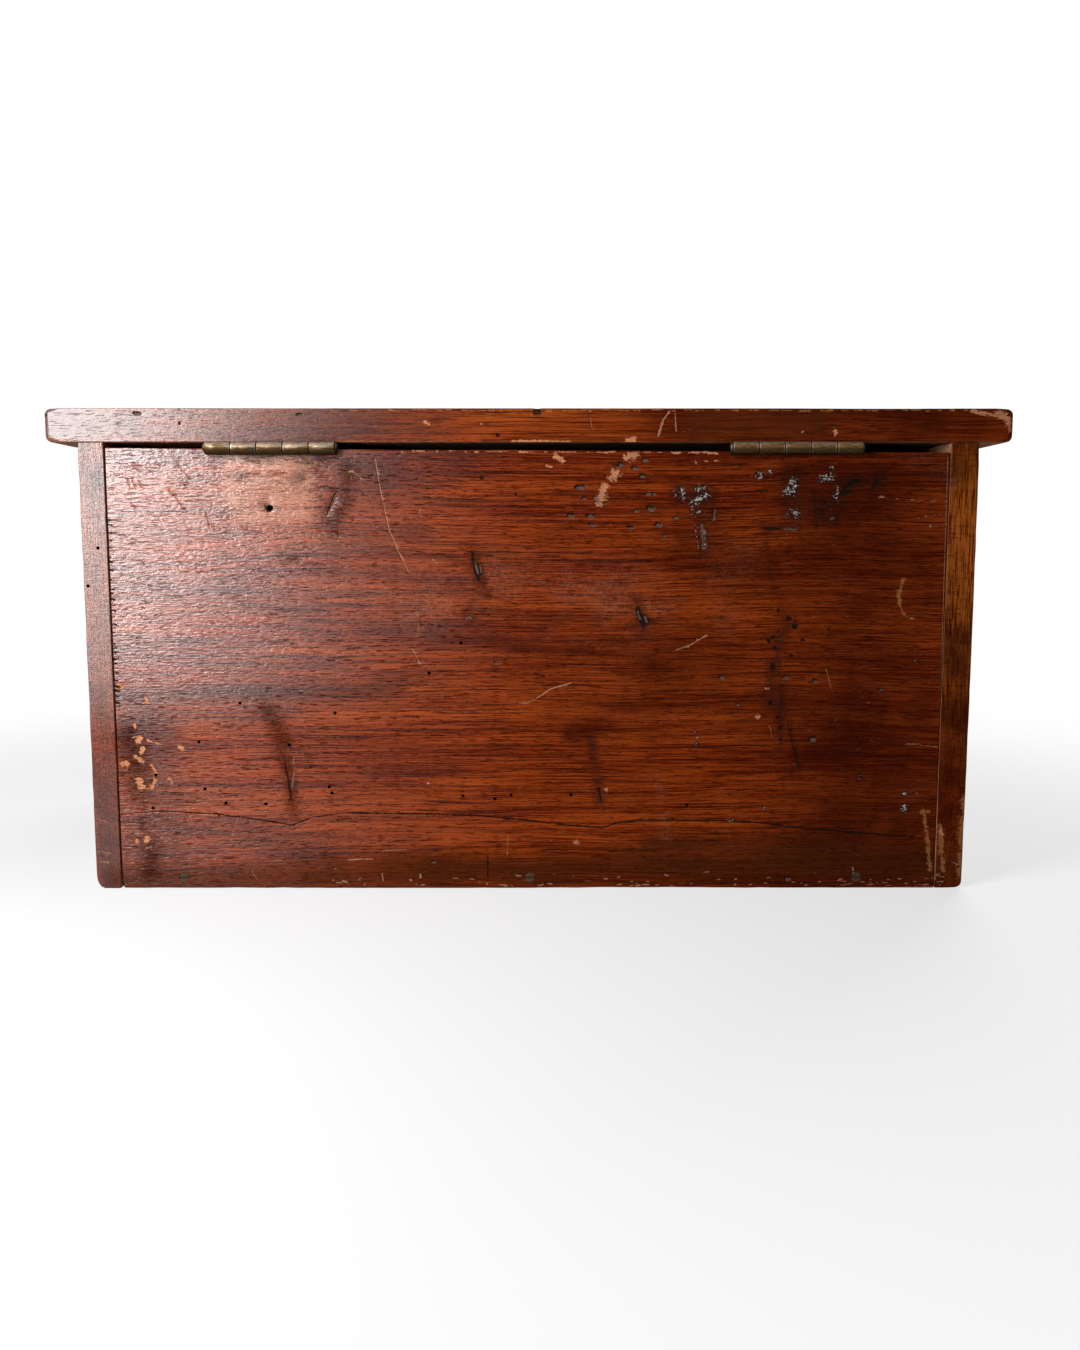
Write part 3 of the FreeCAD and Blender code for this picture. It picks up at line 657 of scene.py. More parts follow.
def build_board(board):
    """Makes a board: blank, worn edges, marks, holes and finish."""
    wear = bpy.context.scene.chest_wear
    low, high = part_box(board.node)
    bm = blank_board(low, high, wear)
    for face, marks in board.marks_by_face:
        refine(bm, face, [mark for mark in marks if touches(mark, low, high, face)], wear)
    bmesh.ops.triangulate(bm, faces=[face for face in bm.faces if len(face.verts) > 4])
    points = worn(np.array([vert.co for vert in bm.verts]), board, low, high)
    points, _ = pressed(points, board.marks_by_face)
    middle = (np.array(low) + np.array(high)) / 2
    thin = int(np.argmin(np.array(high) - np.array(low)))
    hollow = 0.5 + 0.5 * waves(points, (9, 14, 14), board.seed + 2)
    points[:, thin] -= np.sign(points[:, thin] - middle[thin]) * wear.hollow * hollow
    if board.shape:
        points = board.shape(points)
    for vert, point in zip(bm.verts, points):
        vert.co = point
    bmesh.ops.recalc_face_normals(bm, faces=bm.faces[:])
    piece = make_piece(f"worn_{board.node}", bm, board.body, slot_of(board.node), board.node)
    if board.holes:
        cutter = bmesh.new()
        board.holes(cutter, low, high)
        carve(piece, cutter)
    mesh = piece.data
    points = vertex_array(mesh)
    _, masks = pressed(points, board.marks_by_face)
    masks["edge"] = edge_mask(points, board, low, high)
    masks["raw"] = inside_mask(mesh, board.inside)
    masks["hole"] = hole_mask(points)
    masks["dull"] = dull_mask(points)
    paint_masks(mesh, masks)
    mesh.shade_smooth()
    mesh.set_sharp_from_angle(angle=BOARD_CREASE)
    mesh.materials.clear()
    mesh.materials.append(board.finish())


def touches(mark, low, high, face):
    """Whether a mark comes within its own width of a board's face."""
    us = [point[0] for point in mark.points]
    vs = [point[1] for point in mark.points]
    room = mark.width
    return (max(us) + room > low[face.u] and min(us) - room < high[face.u]
            and max(vs) + room > low[face.v] and min(vs) - room < high[face.v])


def edge_mask(points, board, low, high):
    """How rubbed the varnish is near a board's open edges."""
    reach = bpy.context.scene.chest_wear.edge_reach
    near = np.clip(1 - edge_distance(points, board, low, high) / reach, 0, 1)
    patchy = waves(points, (14, 14, 14), board.seed + 5) + 0.8 * waves(points, (90, 90, 90), board.seed + 3)
    return near * np.clip(0.45 + 0.6 * patchy, 0, 1)


def dull_mask(points):
    """How dull the varnish is: the back shines at one upper corner, and is dry at its foot and other end."""
    aside = np.interp(points[:, X], (-0.080, 0.0, 0.065, 0.150), (0.97, 0.87, 0.56, 0.0))
    low = np.interp(points[:, Z], (0.030, 0.075, 0.120), (0.47, 0.64, 0.0)) * (1 - 0.5 * aside)
    behind = np.clip((points[:, Y] - BACK_PLANE) / SKIN + 2, 0, 1)
    return 0.60 + behind * (0.40 - (1 - aside) * (1 - low))


def inside_mask(mesh, inside):
    """1 on points whose faces look towards the inside of the chest."""
    normals = np.empty(len(mesh.vertices) * 3, np.float32)
    mesh.vertex_normals.foreach_get("vector", normals)
    return np.clip(normals.reshape(-1, 3) @ np.array(inside) * 8 - 6.8, 0, 1)


def back_holes():
    """Places and radii of the holes that the photograph shows in the back and the ends' edges."""
    radius = bpy.context.scene.chest_wear.hole_radius
    holes = [(photo_point(*pixel), radius) for pixel in INSECT_HOLES]
    return holes + [(photo_point(*OLD_SCREW_HOLE), OLD_SCREW_RADIUS)]


def drill(cutter, low, high):
    """Rods for the holes that enter a board from the back."""
    depth = 2 * bpy.context.scene.chest_wear.hole_depth
    for (x, z), radius in back_holes():
        if low.x < x < high.x and low.z < z < high.z:
            cylinder(cutter, Vector((x, BACK_PLANE, z)), Vector((0, 1, 0)), radius, depth)


def hole_mask(points):
    """1 on the walls of the holes in the back, which the finish paints dark as painted shade."""
    mask = np.zeros(len(points))
    depth = BACK_PLANE - points[:, Y]
    near = (depth > RIM) & (depth < 2 * bpy.context.scene.chest_wear.hole_depth)
    u, v = points[near, X], points[near, Z]
    found = np.zeros(len(u))
    for spot, radius in back_holes():
        found = np.maximum(found, distance_to([spot], u, v) < 1.15 * radius)
    mask[near] = found
    return mask


def slot_of(node):
    return next(row["material_slot"] for row in frame["record"]["subparts"] if row["node"] == node)


def islands(node):
    """The separate solids of a CAD node, as lists of vertex places."""
    bm = bmesh.new()
    bm.from_mesh(frame["nodes"][node].data)
    bmesh.ops.remove_doubles(bm, verts=bm.verts[:], dist=WELD)
    groups, seen = [], set()
    for start in bm.verts:
        if start in seen:
            continue
        stack, group = [start], []
        seen.add(start)
        while stack:
            vert = stack.pop()
            group.append(vert.co.copy())
            for edge in vert.link_edges:
                other = edge.other_vert(vert)
                if other not in seen:
                    seen.add(other)
                    stack.append(other)
        groups.append(np.array(group))
    bm.free()
    return groups


def head_seats(cutter, node, axis, outwards):
    """Round seats for the screw heads of a node whose screws lie along an axis."""
    gap = bpy.context.scene.chest_wear.seat_gap
    for points in islands(node):
        low, high = points.min(axis=0), points.max(axis=0)
        middle = Vector((low + high) / 2)
        middle[axis] = high[axis] if outwards > 0 else low[axis]
        across = np.delete(high - low, axis).max() / 2
        direction = Vector((0, 0, 0))
        direction[axis] = outwards
        cylinder(cutter, middle, direction, across + gap, SCREW_SEAT, segments=28)


def nail_seats(cutter, node, outwards):
    """Square seats for the heads of cut nails driven along X."""
    gap = bpy.context.scene.chest_wear.seat_gap
    for points in islands(node):
        low, high = points.min(axis=0) - gap, points.max(axis=0) + gap
        face = high[X] if outwards > 0 else low[X]
        low[X], high[X] = face - NAIL_SEAT, face + NAIL_SEAT
        box(cutter, low, high)


# Shader maths

SEEN_RAYS = ("Is Camera Ray", "Is Glossy Ray", "Is Transmission Ray")


class Socket:
    """One output of a node. Sums and products with these or with plain numbers add Math nodes."""

    def __init__(self, finish, output):
        self.finish = finish
        self.output = output

    def math(self, operation, first, second=0.0):
        return self.finish.node("ShaderNodeMath", {"operation": operation}, {0: first, 1: second})

    def __add__(self, other):
        return self.math("ADD", self, other)

    __radd__ = __add__

    def __sub__(self, other):
        return self.math("SUBTRACT", self, other)

    def __rsub__(self, other):
        return self.math("SUBTRACT", other, self)

    def __mul__(self, other):
        return self.math("MULTIPLY", self, other)

    __rmul__ = __mul__

    def __truediv__(self, other):
        return self.math("DIVIDE", self, other)

    def __pow__(self, other):
        return self.math("POWER", self, other)

    def most(self, other):
        return self.math("MAXIMUM", self, other)

    def rises(self, start, stop):
        """0 below start and 1 above stop, smooth between, or the other way round where stop is lower."""
        return self.finish.node("ShaderNodeMapRange", {"interpolation_type": "SMOOTHSTEP"},
                                {"Value": self, "From Min": start, "From Max": stop})


class Finish:
    """A material, or the world, and the nodes that make it."""

    def __init__(self, owner, shader="Principled BSDF"):
        self.material = bpy.data.materials.new(owner) if isinstance(owner, str) else owner
        self.material.use_nodes = True
        self.tree = self.material.node_tree
        self.shader = self.tree.nodes[shader]

    def node(self, kind, settings, inputs, output=0):
        """Adds a node, sets its settings and then its sockets, and gives one of its outputs."""
        node = self.tree.nodes.new(kind)
        for name, value in settings.items():
            setattr(node, name, value)
        for key, value in inputs.items():
            self.plug(node.inputs[key], value)
        return Socket(self, node.outputs[output])

    def plug(self, socket, value):
        if isinstance(value, Socket):
            self.tree.links.new(value.output, socket)
        elif hasattr(value, "__len__") and socket.type == "RGBA":
            socket.default_value = (*value, 1) if len(value) == 3 else tuple(value)
        else:
            socket.default_value = value

    def feed(self, **sockets):
        """Sets or links sockets of the surface shader, with spaces in their names written as underscores."""
        for name, value in sockets.items():
            self.plug(self.shader.inputs[name.replace("_", " ")], value)

    def blend(self, share, over):
        """Lays another shader over the surface shader."""
        under = Socket(self, self.shader.outputs[0])
        mixed = self.node("ShaderNodeMixShader", {}, {0: share, 1: under, 2: over})
        self.tree.links.new(mixed.output, self.tree.nodes["Material Output"].inputs["Surface"])

    def object_axes(self):
        coordinates = self.node("ShaderNodeTexCoord", {}, {}, "Object")
        return [self.node("ShaderNodeSeparateXYZ", {}, {0: coordinates}, axis) for axis in (X, Y, Z)]

    def vector(self, x, y, z):
        return self.node("ShaderNodeCombineXYZ", {}, {0: x, 1: y, 2: z})

    def cloud(self, vector, detail=2.0, roughness=0.5):
        """Noise from 0 to 1."""
        return self.node("ShaderNodeTexNoise", {}, {"Vector": vector, "Scale": 1.0, "Detail": detail,
                                                    "Roughness": roughness})

    def mask(self, name):
        return self.node("ShaderNodeAttribute", {"attribute_name": name}, {}, "Fac")

    def layered(self, base, *layers):
        """A colour with others laid over it in turn, each by its own share."""
        for tint, share in layers:
            base = self.node("ShaderNodeMix", {"data_type": "RGBA"}, {0: share, 6: base, 7: tint}, 2)
        return base

    def bump(self, height, distance):
        return self.node("ShaderNodeBump", {}, {"Height": height, "Distance": distance})

    def seen(self):
        """1 for rays that look at a surface, and 0 for those that gather light from it."""
        return sum(self.node("ShaderNodeLightPath", {}, {}, ray) for ray in SEEN_RAYS)


# Grain runs along the first of a board's axes, its width along the second and its thickness along the third
GRAIN_ALONG_X_UPRIGHT = (X, Z, Y)
GRAIN_ALONG_X_FLAT = (X, Y, Z)
GRAIN_ALONG_Y_UPRIGHT = (Y, Z, X)


def mahogany(name, axes, seed, golden=0.0, rough=1.0, shine=0.8):
    """Old varnished mahogany, with figure, pores, wear and marks."""
    wood = bpy.context.scene.chest_wood
    finish = Finish(name)
    ordered = finish.object_axes()
    along, width, thick = (ordered[axis] for axis in axes)
    along = along + 0.37 * seed
    sway = finish.cloud(finish.vector(along * 6, width * 12, thick * 12), detail=2) - 0.5
    wander = width + sway * 0.009
    depth = thick + sway * 0.004
    upright = axes == GRAIN_ALONG_Y_UPRIGHT
    across = 0.45 if upright else 1.0

    def grain(long, wide, detail, roughness):
        """Noise drawn out along the grain, in features per metre."""
        spot = finish.vector(along * long, wander * (wide * across), depth * wide)
        return finish.cloud(spot, detail, roughness)

    bands = grain(2.4, 36, 3, 0.6)
    streaks = grain(9, 190, 4, 0.62)
    hairs = grain(38, 1250, 3, 0.65)
    fibres = grain(16, 1900, 2, 0.6)
    veins = grain(5, 230, 2, 0.55) - 0.5
    ripples = grain(330, 1050, 3, 0.62)
    pores = grain(190, 1750 / across, 1, 0.5).rises(0.59, 0.69) * (0.4 + 0.6 * rough)
    blotches = finish.cloud(finish.vector(along * 16, width * 26, thick * 26), 4, 0.62)
    specks = finish.cloud(finish.vector(along * 420, width * 620, thick * 620), 2, 0.6)
    flecks = finish.cloud(finish.vector(along * 850, width * 950, thick * 950), 3, 0.7) - 0.5
    hatch = finish.cloud(finish.vector(along * 1100, width * 420, thick * 420), 2, 0.5).rises(0.45, 0.68)
    # The golden cast fades towards the lid's -X end, as painted shade where the window light falls off, and
    # down the end boards towards the foot.
    fade = ordered[Z].rises(0.05, 0.13) if upright else ordered[X].rises(-0.075, -0.02)
    gilt = fade * golden

    tone = bands * 0.32 + streaks * 0.34 + hairs * 0.34
    shades = finish.layered(
        wood.heart,
        (wood.glow, tone.rises(0.42, 0.60)),
        (wood.gold, (blotches * 0.5 + bands * 0.5).rises(0.35, 0.65) * gilt),
        (wood.figure, tone.rises(0.50, 0.37) * 0.45),
        (wood.figure, hairs.rises(0.46, 0.34) * 0.65),
        (wood.figure, fibres.rises(0.48, 0.36) * 0.80),
        (wood.glow, fibres.rises(0.53, 0.64) * 0.55),
        (wood.figure, (veins * veins).rises(0.0007, 0.0) * streaks.rises(0.40, 0.60) * 0.50),
        (wood.figure, blotches.rises(0.50, 0.75) * 0.40),
    )
    furrows = 0.0
    if upright:
        edge = ordered[Y].rises(BACK_PLANE - 0.003, BACK_PLANE - 0.001)
        lines = finish.cloud(finish.vector(along * 60, width * 65, thick * 1300), 3, 0.70)
        rays = finish.cloud(finish.vector(along * 60, width * 800, thick * 130), 2, 0.6)
        furrows = edge * (lines + 0.5 * rays)
        shades = finish.layered(
            shades,
            (wood.gold, edge * lines.rises(0.43, 0.56) * gilt * 2.2),
            (wood.figure, edge * lines.rises(0.47, 0.35) * 0.70),
            (wood.figure, edge * rays.rises(0.45, 0.34) * 0.40),
            (wood.figure, edge * blotches.rises(0.50, 0.70) * 0.50),
        )

    def patchy(kind, keep, rag, low, high):
        """A mark with crumbled edges."""
        mask = finish.mask(kind)
        return (mask * keep + flecks * rag).rises(low, high) * mask.rises(0.02, 0.15)

    # Marks: some also paint light. The stain, grime and shade marks partly paint shade, the haze paints sheen,
    # the scuffs reflections, and the rubs and scratches highlights.
    ghost = finish.mask("ghost") * (0.55 + 1.2 * (streaks - 0.5))
    shade = finish.mask("shade") * (blotches * 1.4 - 0.15).rises(0.0, 0.9) * (0.15 + 1.7 * hairs)
    stain_and_shade = finish.mask("stain_and_shade") * (0.75 + 0.9 * (blotches - 0.5)) * (0.1 + hairs + 0.8 * fibres)
    fuzz = (flecks * 0.9 + hairs * 0.6 + fibres * 0.6).rises(0.45, 0.80)
    smudge = finish.mask("smudge") * (0.30 + 0.70 * fuzz)
    bloom_and_glints = 0.10 + 0.50 * hatch + 0.50 * specks.rises(0.45, 0.62)
    haze_and_sheen = finish.mask("haze_and_sheen") * bloom_and_glints * blotches.rises(0.36, 0.62)
    rubbed = (finish.mask("edge") + flecks * 0.9).rises(0.45, 0.95)
    bare = patchy("bare", 0.80, 1.5, 0.34, 0.52).most(rubbed * 0.6)
    rub = patchy("rub", 0.75, 1.6, 0.30, 0.60)
    scratch_and_highlight = patchy("scratch_and_highlight", 1.0, 0.70, 0.40, 0.70).most(specks.rises(0.68, 0.78) * 0.3)
    grime_and_shade = patchy("grime_and_shade", 1.0, 0.80, 0.36, 0.66)
    scuff_and_reflection = patchy("scuff_and_reflection", 0.9, 1.2, 0.32, 0.62)
    paint = patchy("paint", 0.47, 2.4, 0.34, 0.56)
    dry = patchy("dry", 0.9, 0.9, 0.32, 0.58)
    raw = finish.mask("raw")
    hole = finish.mask("hole")
    raw_wood = finish.layered(
        wood.raw,
        (wood.ghost, streaks.rises(0.35, 0.65) * 0.6),
        (wood.figure, pores * 0.5 + blotches.rises(0.45, 0.8) * 0.35),
    )
    # Marks laid over the wood: dirt and wear, and with them painted shade, sheen, reflections and highlights.
    shades = finish.layered(
        shades,
        (wood.pore, pores * 0.50),
        (wood.ghost, ghost * 0.80),
        (wood.figure, shade * 0.76),
        (wood.stain_and_shade, stain_and_shade * 0.80),
        (wood.haze_and_sheen, haze_and_sheen * 0.28),
        (wood.grime_and_shade, smudge * 0.80),
        (wood.rub, rub * 0.80),
        (wood.bare, bare * (0.80 + 0.8 * (hairs - 0.5) + 0.6 * flecks)),
        (wood.scratch_and_highlight, scratch_and_highlight * 0.60),
        (wood.grime_and_shade, grime_and_shade * 0.90),
        (wood.scuff_and_reflection, scuff_and_reflection * 0.75),
        (wood.grime_and_shade, finish.mask("paint").rises(0.05, 0.60) * 0.65),
        (wood.paint, paint * 0.85),
        (raw_wood, raw),
        # The hole walls are painted dark, as painted shade.
        (wood.grime_and_shade, hole),
    )

    height = (ripples * 0.50 + hairs * 0.30 + specks * 0.30 - pores * 0.60 + furrows * 0.8
              + paint * 0.4 - bare * 0.35 - scratch_and_highlight * 0.3 - grime_and_shade * 0.3 - dry * 0.2)
    relief = finish.bump(height, 0.00056 * rough)
    gloss = (0.42 if upright else 0.27) + 0.20 * (blotches - 0.4) + 0.12 * pores + 0.10 * (specks - 0.5)
    finish.feed(Base_Color=shades, Roughness=gloss, Specular_IOR_Level=shine, Normal=relief)
    matt = finish.node("ShaderNodeBsdfPrincipled", {}, {"Base Color": shades, "Roughness": 0.62,
                                                        "Specular IOR Level": 0.0, "Normal": relief})
    dryness = (finish.mask("dull") + bare + scratch_and_highlight * 0.5 + paint + grime_and_shade * 0.8 + raw + hole
               + dry * 0.45 + smudge * 0.4 + stain_and_shade * 0.3 + ghost * 0.2 + pores * 0.35 + scuff_and_reflection * 0.5 + rub * 0.6)
    finish.blend(dryness.rises(0.0, 1.0), matt)
    return finish.material


def knuckle_ends(x, side):
    """Distance from the ends of a hinge's five equal knuckles, in lengths of one, along the whole axis."""
    boxes = [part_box(f"{side}_hinge_{leaf}_leaf") for leaf in ("case", "lid")]
    ends = [corner.x for pair in boxes for corner in pair]
    pitch = (max(ends) - min(ends)) / 5
    return x.math("PINGPONG", (x - min(ends)) / pitch, 0.5)


def brass(name):
    """Aged brass, rubbed on top of the barrel and dirty below it, with painted highlights on top, beside the
    knuckle seams and on the hinge nearer the window light, and painted shade below the barrel.
    """
    metal = bpy.context.scene.chest_metal
    low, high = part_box("left_hinge_pin")
    axis, radius = (low.z + high.z) / 2, BARREL_RADIUS
    finish = Finish(name)
    x, y, z = finish.object_axes()
    tarnish = finish.cloud(finish.vector(x * 150, y * 300, z * 300), 4, 0.65)
    scuffs = finish.cloud(finish.vector(x * 320, y * 1900, z * 1900), 3, 0.65)
    pits = finish.cloud(finish.vector(x * 1100, y * 1100, z * 1100), 2)
    # upper is 1 on top of the barrel, which is painted lighter as a painted highlight, and 0 below it, where
    # painted shade darkens it.
    upper = ((z - axis) / radius).rises(-0.30, 0.90)
    # The hinge nearer the window light is painted lighter, as a painted highlight.
    lamp_side_highlight = x.rises(-0.05, 0.05)
    right = x.rises(-MILLIMETRE, MILLIMETRE)
    seam = knuckle_ends(x, "right") * right + knuckle_ends(x, "left") * (1 - right)
    wear = tarnish * 0.7 + scuffs * 0.3 + upper * 0.35 + lamp_side_highlight * 0.18
    tone = finish.layered(
        metal.brass,
        (metal.brass_worn_and_highlight, wear.rises(0.66, 1.05) * 0.9),
        (metal.brass_dirt_and_shade, scuffs.rises(0.50, 0.36) * 0.55),
        (metal.brass_dirt_and_shade, pits.rises(0.58, 0.70) * 0.45),
        # Painted highlights beside the knuckle seams, then the dark seams themselves, then painted shade under
        # the barrel.
        (metal.brass_worn_and_highlight, seam.rises(0.080, 0.045) * tarnish.rises(0.42, 0.58) * 0.8),
        (metal.brass_dirt_and_shade, seam.rises(0.034, 0.018) * 0.85),
        (metal.brass_dirt_and_shade, upper.rises(0.35, 0.0) * 0.70),
    )
    gloss = 0.36 + 0.30 * tarnish.rises(0.65, 0.35) + 0.1 * scuffs
    relief = finish.bump(tarnish * 0.3 + scuffs * 0.5 + pits * 0.6, 0.00022)
    finish.feed(Base_Color=tone, Metallic=1.0, Roughness=gloss, Normal=relief)
    return finish.material


def iron(name):
    """Dark old iron with some rust."""
    metal = bpy.context.scene.chest_metal
    finish = Finish(name)
    x, y, z = finish.object_axes()
    crust = finish.cloud(finish.vector(x * 500, y * 500, z * 500), detail=4, roughness=0.65)
    tone = finish.layered(metal.iron, (metal.rust, crust.rises(0.45, 0.68)))
    finish.feed(Base_Color=tone, Specular_IOR_Level=0.08, Roughness=0.60 + 0.3 * crust,
                Normal=finish.bump(crust, 0.00012))
    return finish.material


# Operators, one for each piece or group of like pieces


class ChestOperator(bpy.types.Operator):
    bl_options = {"REGISTER", "UNDO"}


class CHEST_OT_back_board(ChestOperator):
    """Back board with the marks that the photograph shows, its hinge mortises and flight holes"""

    bl_idname = "chest.back_board"
    bl_label = "Back board"

    def execute(self, context):
        wear = context.scene.chest_wear
        cad = np.array([vert.co for vert in frame["nodes"]["back_board"].data.vertices])
        ends = cad[:, X].min(), cad[:, X].max()
        tops = [cad[np.abs(cad[:, X] - end) < MILLIMETRE][:, Z].max() for end in ends]
        highest = max(tops)

        def slope(points):
            along = (points[:, X] - ends[0]) / (ends[1] - ends[0])
            drop = highest - (tops[0] + along * (tops[1] - tops[0]))
            points[:, Z] -= drop * np.clip((points[:, Z] - highest + 0.03) / 0.03, 0, 1)
            points[:, X] -= wear.open_joint * np.clip((along - 0.97) / 0.03, 0, 1)
            return points

        def holes(cutter, low, high):
            for side in SIDES:
                leaf_low, leaf_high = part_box(f"{side}_hinge_case_leaf")
                gap = 2 * wear.seat_gap
                box(cutter, (leaf_low.x - gap, leaf_low.y - gap, leaf_low.z),
                    (leaf_high.x + gap, BACK_PLANE + SKIN, high.z + SKIN))
            head_seats(cutter, "back_bottom_screws", Y, 1)
            drill(cutter, low, high)

        def finish():
            return mahogany("back_mahogany", GRAIN_ALONG_X_UPRIGHT, 1)

        build_board(Board("back_board", "case", 1, finish, inside=(0, -1, 0), joined=((X, -1), (X, 1), (Y, -1)),
                          marks_by_face=[(BACK, back_marks())], shape=slope, holes=holes))
        return {"FINISHED"}


class CHEST_OT_side_boards(ChestOperator):
    """Both ends of the case, with seats for their nails and screws"""

    bl_idname = "chest.side_boards"
    bl_label = "Side boards"

    def execute(self, context):
        wear = context.scene.chest_wear
        for number, (side, sign) in enumerate(zip(SIDES, (-1, 1))):
            node = f"{side}_side_board"
            low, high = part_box(node)
            outer = Face(X, high.x if sign > 0 else low.x, sign, Y, Z)
            marks = scattered_marks(11 + number, (low.y, high.y), (low.z, high.z), 26)

            def holes(cutter, low, high):
                head_seats(cutter, f"{side}_bottom_screws", X, sign)
                nail_seats(cutter, f"back_{side}_corner_nails", sign)
                nail_seats(cutter, f"front_{side}_corner_nails", sign)
                drill(cutter, low, high)

            def foot(points):
                return rounded_foot(points, low, high, sign, wear.foot_width, wear.foot_height[number])

            def finish():
                golden = 0.46 if sign < 0 else 0.10
                return mahogany(f"{side}_end_mahogany", GRAIN_ALONG_Y_UPRIGHT, 3 + number, golden, 0.5, 1.0)

            build_board(Board(node, "case", 5 + 4 * number, finish, inside=(-sign, 0, 0), joined=((X, -sign),),
                              marks_by_face=[(BACK, back_marks()), (outer, marks)], shape=foot, holes=holes))
        return {"FINISHED"}


def rounded_foot(points, low, high, sign, wide, tall):
    """Rounds the outer lower edge of a side board, most at its corners, worn by being pushed about."""
    outer = high.x if sign > 0 else low.x
    corner = np.minimum(points[:, Y] - low.y, high.y - points[:, Y])
    share = np.interp(corner, (0.010, 0.035), (1.0, 0.2))
    wide, tall = wide * share, tall * share
    inset = 1 - np.abs(points[:, X] - outer) / wide
    lift = 1 - (points[:, Z] - low.z) / tall
    reach = np.hypot(inset, lift)
    past = (inset > 0) & (lift > 0) & (reach > 1)
    pull = np.where(past, 1 / np.maximum(reach, 1e-9), 1)
    points[:, X] = np.where(past, outer - sign * wide * (1 - inset * pull), points[:, X])
    points[:, Z] = np.where(past, low.z + tall * (1 - lift * pull), points[:, Z])
    return points


class CHEST_OT_front_board(ChestOperator):
    """Front board, which the photograph doesn't show"""

    bl_idname = "chest.front_board"
    bl_label = "Front board"

    def execute(self, context):
        low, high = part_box("front_board")
        face = Face(Y, low.y, -1, X, Z)
        marks = scattered_marks(21, (low.x, high.x), (low.z, high.z), 34)

        def holes(cutter, low, high):
            head_seats(cutter, "front_bottom_screws", Y, -1)

        def finish():
            return mahogany("front_mahogany", GRAIN_ALONG_X_UPRIGHT, 7)

        build_board(Board("front_board", "case", 13, finish, inside=(0, 1, 0), joined=((X, -1), (X, 1), (Y, 1)),
                          marks_by_face=[(face, marks)], holes=holes))
        return {"FINISHED"}


class CHEST_OT_lid_board(ChestOperator):
    """Overhanging lid with knocked edges"""

    bl_idname = "chest.lid_board"
    bl_label = "Lid board"

    def execute(self, context):
        low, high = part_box("lid_board")
        top = Face(Z, high.z, 1, X, Y)
        marks = scattered_marks(31, (low.x, high.x), (low.y, high.y), 60)

        def finish():
            return mahogany("lid_mahogany", GRAIN_ALONG_X_FLAT, 11, 0.35, 0.4, 0.58)

        build_board(Board("lid_board", "lid", 17, finish, inside=(0, 0, -1),
                          corner=context.scene.chest_wear.lid_corner,
                          marks_by_face=[(BACK, back_marks()), (top, marks)]))
        return {"FINISHED"}


class CHEST_OT_bottom_board(ChestOperator):
    """Unfinished floor of the chest"""

    bl_idname = "chest.bottom_board"
    bl_label = "Bottom board"

    def execute(self, context):
        def finish():
            return mahogany("bottom_mahogany", GRAIN_ALONG_X_FLAT, 17)

        build_board(Board("bottom_board", "case", 23, finish, inside=(0, 0, 1)))
        return {"FINISHED"}


class CHEST_OT_hinges(ChestOperator):
    """Leaves, pins and screws of both hinges"""

    bl_idname = "chest.hinges"
    bl_label = "Hinges"

    def execute(self, context):
        finish = brass("aged_brass")
        for node, piece in list(frame["nodes"].items()):
            if node.endswith("_leaf"):
                eased_leaf(node).data.materials.append(finish)
            elif "_hinge_" in node:
                piece.data.materials.clear()
                piece.data.materials.append(finish)
        return {"FINISHED"}


def eased_leaf(node):
    """A hinge leaf with the sharp ends of its knuckles eased by wear."""
    ease = bpy.context.scene.chest_wear.knuckle_ease
    bm = bmesh.new()
    bm.from_mesh(frame["nodes"][node].data)
    bmesh.ops.remove_doubles(bm, verts=bm.verts[:], dist=WELD)
    bmesh.ops.dissolve_limit(bm, angle_limit=math.radians(1), verts=bm.verts[:], edges=bm.edges[:])
    sharp = [edge for edge in bm.edges if edge.is_manifold and edge.calc_face_angle() > math.radians(50)]
    bmesh.ops.bevel(bm, geom=sharp, offset=ease, segments=2, profile=0.5, affect="EDGES", material=-1,
                    clamp_overlap=True)
    piece = make_piece(f"eased_{node}", bm, "lid" if "_lid_" in node else "case", slot_of(node), node)
    piece.data.shade_smooth()
    piece.data.set_sharp_from_angle(angle=LEAF_CREASE)
    piece.data.materials.clear()
    return piece


class CHEST_OT_iron_fasteners(ChestOperator):
    """Nails and screws of the case"""

    bl_idname = "chest.iron_fasteners"
    bl_label = "Nails and screws"

    def execute(self, context):
        finish = iron("old_iron")
        for node, piece in frame["nodes"].items():
            if node.endswith("_bottom_screws") or node.endswith("_nails"):
                piece.data.materials.clear()
                piece.data.materials.append(finish)
        return {"FINISHED"}


BACK_TARGET = (0, BACK_PLANE, 0.11)
FRONT_TARGET = (0, -0.1, 0.1)
SENSOR_WIDTH = 36.0


def soft_light(name, spot, size, power, target):
    """A rectangular area light that looks at a point."""
    light = bpy.data.lights.new(name, "AREA")
    light.energy = power
    light.shape = "RECTANGLE"
    light.size, light.size_y = size
    lamp = bpy.data.objects.new(name, light)
    lamp.location = spot
    lamp.rotation_euler = (Vector(target) - Vector(spot)).to_track_quat("-Z", "Y").to_euler()
    bpy.context.scene.collection.objects.link(lamp)


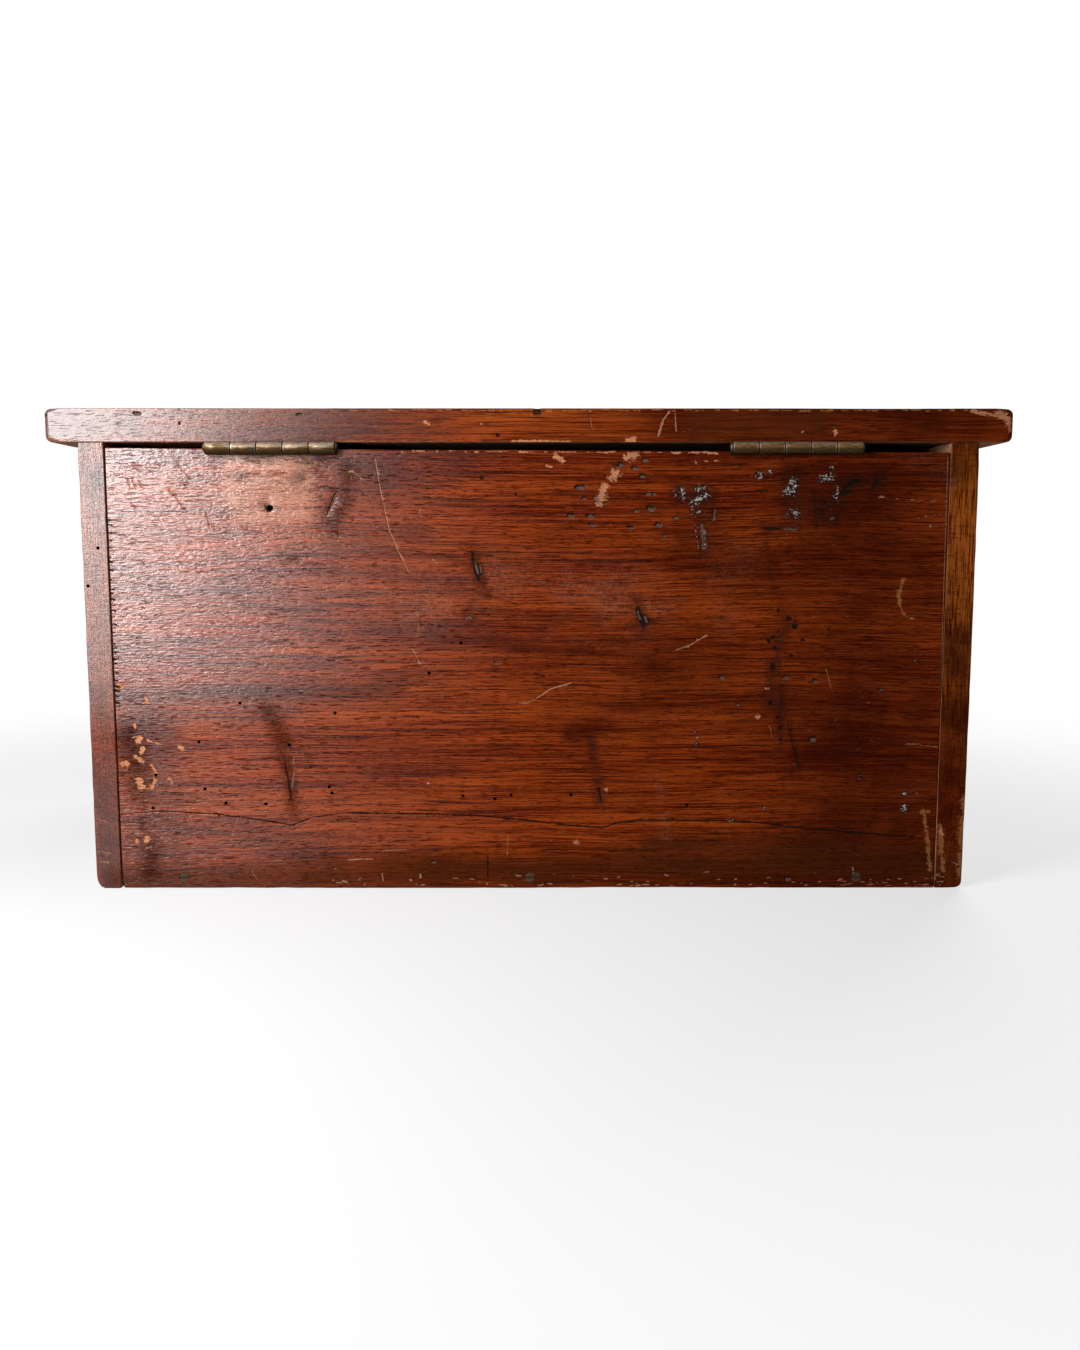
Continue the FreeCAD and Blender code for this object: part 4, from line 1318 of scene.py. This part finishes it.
class CHEST_OT_stage(ChestOperator):
    """Camera, floor and light"""

    bl_idname = "chest.stage"
    bl_label = "Stage"

    def execute(self, context):
        scene = context.scene
        stage = scene.chest_stage
        scene.view_settings.view_transform = "Standard"
        lens = bpy.data.cameras.new("photo_camera")
        lens.lens = stage.lens
        lens.sensor_width = SENSOR_WIDTH
        camera = bpy.data.objects.new("photo_camera", lens)
        camera.location = stage.camera_place
        camera.rotation_euler = camera_turn(stage).to_euler()
        scene.collection.objects.link(camera)
        scene.camera = camera

        soft_light("window_light", stage.key_place, (stage.key_width, stage.key_height), stage.key_power,
                   BACK_TARGET)
        soft_light("front_light", stage.front_place, (stage.front_size, stage.front_size), stage.front_power,
                   FRONT_TARGET)
        self.surroundings(scene, stage)
        self.floor(scene, stage)
        return {"FINISHED"}

    def surroundings(self, scene, stage):
        world = bpy.data.worlds.new("plain_light")
        scene.world = world
        sky = Finish(world, "Background")
        sky.feed(Color=(1, 1, 1), Strength=stage.ambient + sky.seen() * (1 - stage.ambient))

    def floor(self, scene, stage):
        bm = bmesh.new()
        bmesh.ops.create_grid(bm, x_segments=1, y_segments=1, size=stage.floor_size / 2)
        mesh = bpy.data.meshes.new("floor")
        bm.to_mesh(mesh)
        bm.free()
        floor = bpy.data.objects.new("floor", mesh)
        scene.collection.objects.link(floor)
        finish = Finish("pale_floor")
        finish.feed(Base_Color=stage.floor_colour, Roughness=0.9, Specular_IOR_Level=0.1)
        x, y, _ = finish.object_axes()
        away = (x * x + y * y) ** 0.5
        white = finish.node("ShaderNodeEmission", {}, {"Color": (1, 1, 1), "Strength": 1.0})
        finish.blend((0.62 + 0.38 * away.rises(0.25, 0.75)) * finish.seen(), white)
        mesh.materials.append(finish.material)


class CHEST_PT_panel(bpy.types.Panel):
    """Lists the chest's sizes, colours and operators"""

    bl_idname = "CHEST_PT_panel"
    bl_label = "Old mahogany chest"
    bl_space_type = "VIEW_3D"
    bl_region_type = "UI"
    bl_category = "Chest"

    def draw(self, context):
        scene = context.scene
        for group in (scene.chest_wood, scene.chest_wear, scene.chest_metal, scene.chest_stage):
            section = self.layout.box()
            for name in group.__annotations__:
                section.prop(group, name)
        for operator in OPERATORS:
            self.layout.operator(operator.bl_idname)


GROUPS = {"chest_wood": WoodFinish, "chest_wear": BoardWear, "chest_metal": MetalFinish,
          "chest_stage": StageSettings}
OPERATORS = (CHEST_OT_back_board, CHEST_OT_side_boards, CHEST_OT_front_board, CHEST_OT_lid_board,
             CHEST_OT_bottom_board, CHEST_OT_hinges, CHEST_OT_iron_fasteners, CHEST_OT_stage)


def register():
    for cls in (*GROUPS.values(), *OPERATORS, CHEST_PT_panel):
        bpy.utils.register_class(cls)
    for name, group in GROUPS.items():
        setattr(bpy.types.Scene, name, PointerProperty(type=group))


def unregister():
    for name in GROUPS:
        delattr(bpy.types.Scene, name)
    for cls in (CHEST_PT_panel, *reversed(OPERATORS), *reversed(GROUPS.values())):
        bpy.utils.unregister_class(cls)


def main():
    register()
    for operator in OPERATORS:
        group, name = operator.bl_idname.split(".")
        getattr(getattr(bpy.ops, group), name)()


if __name__ == "__main__":
    main()
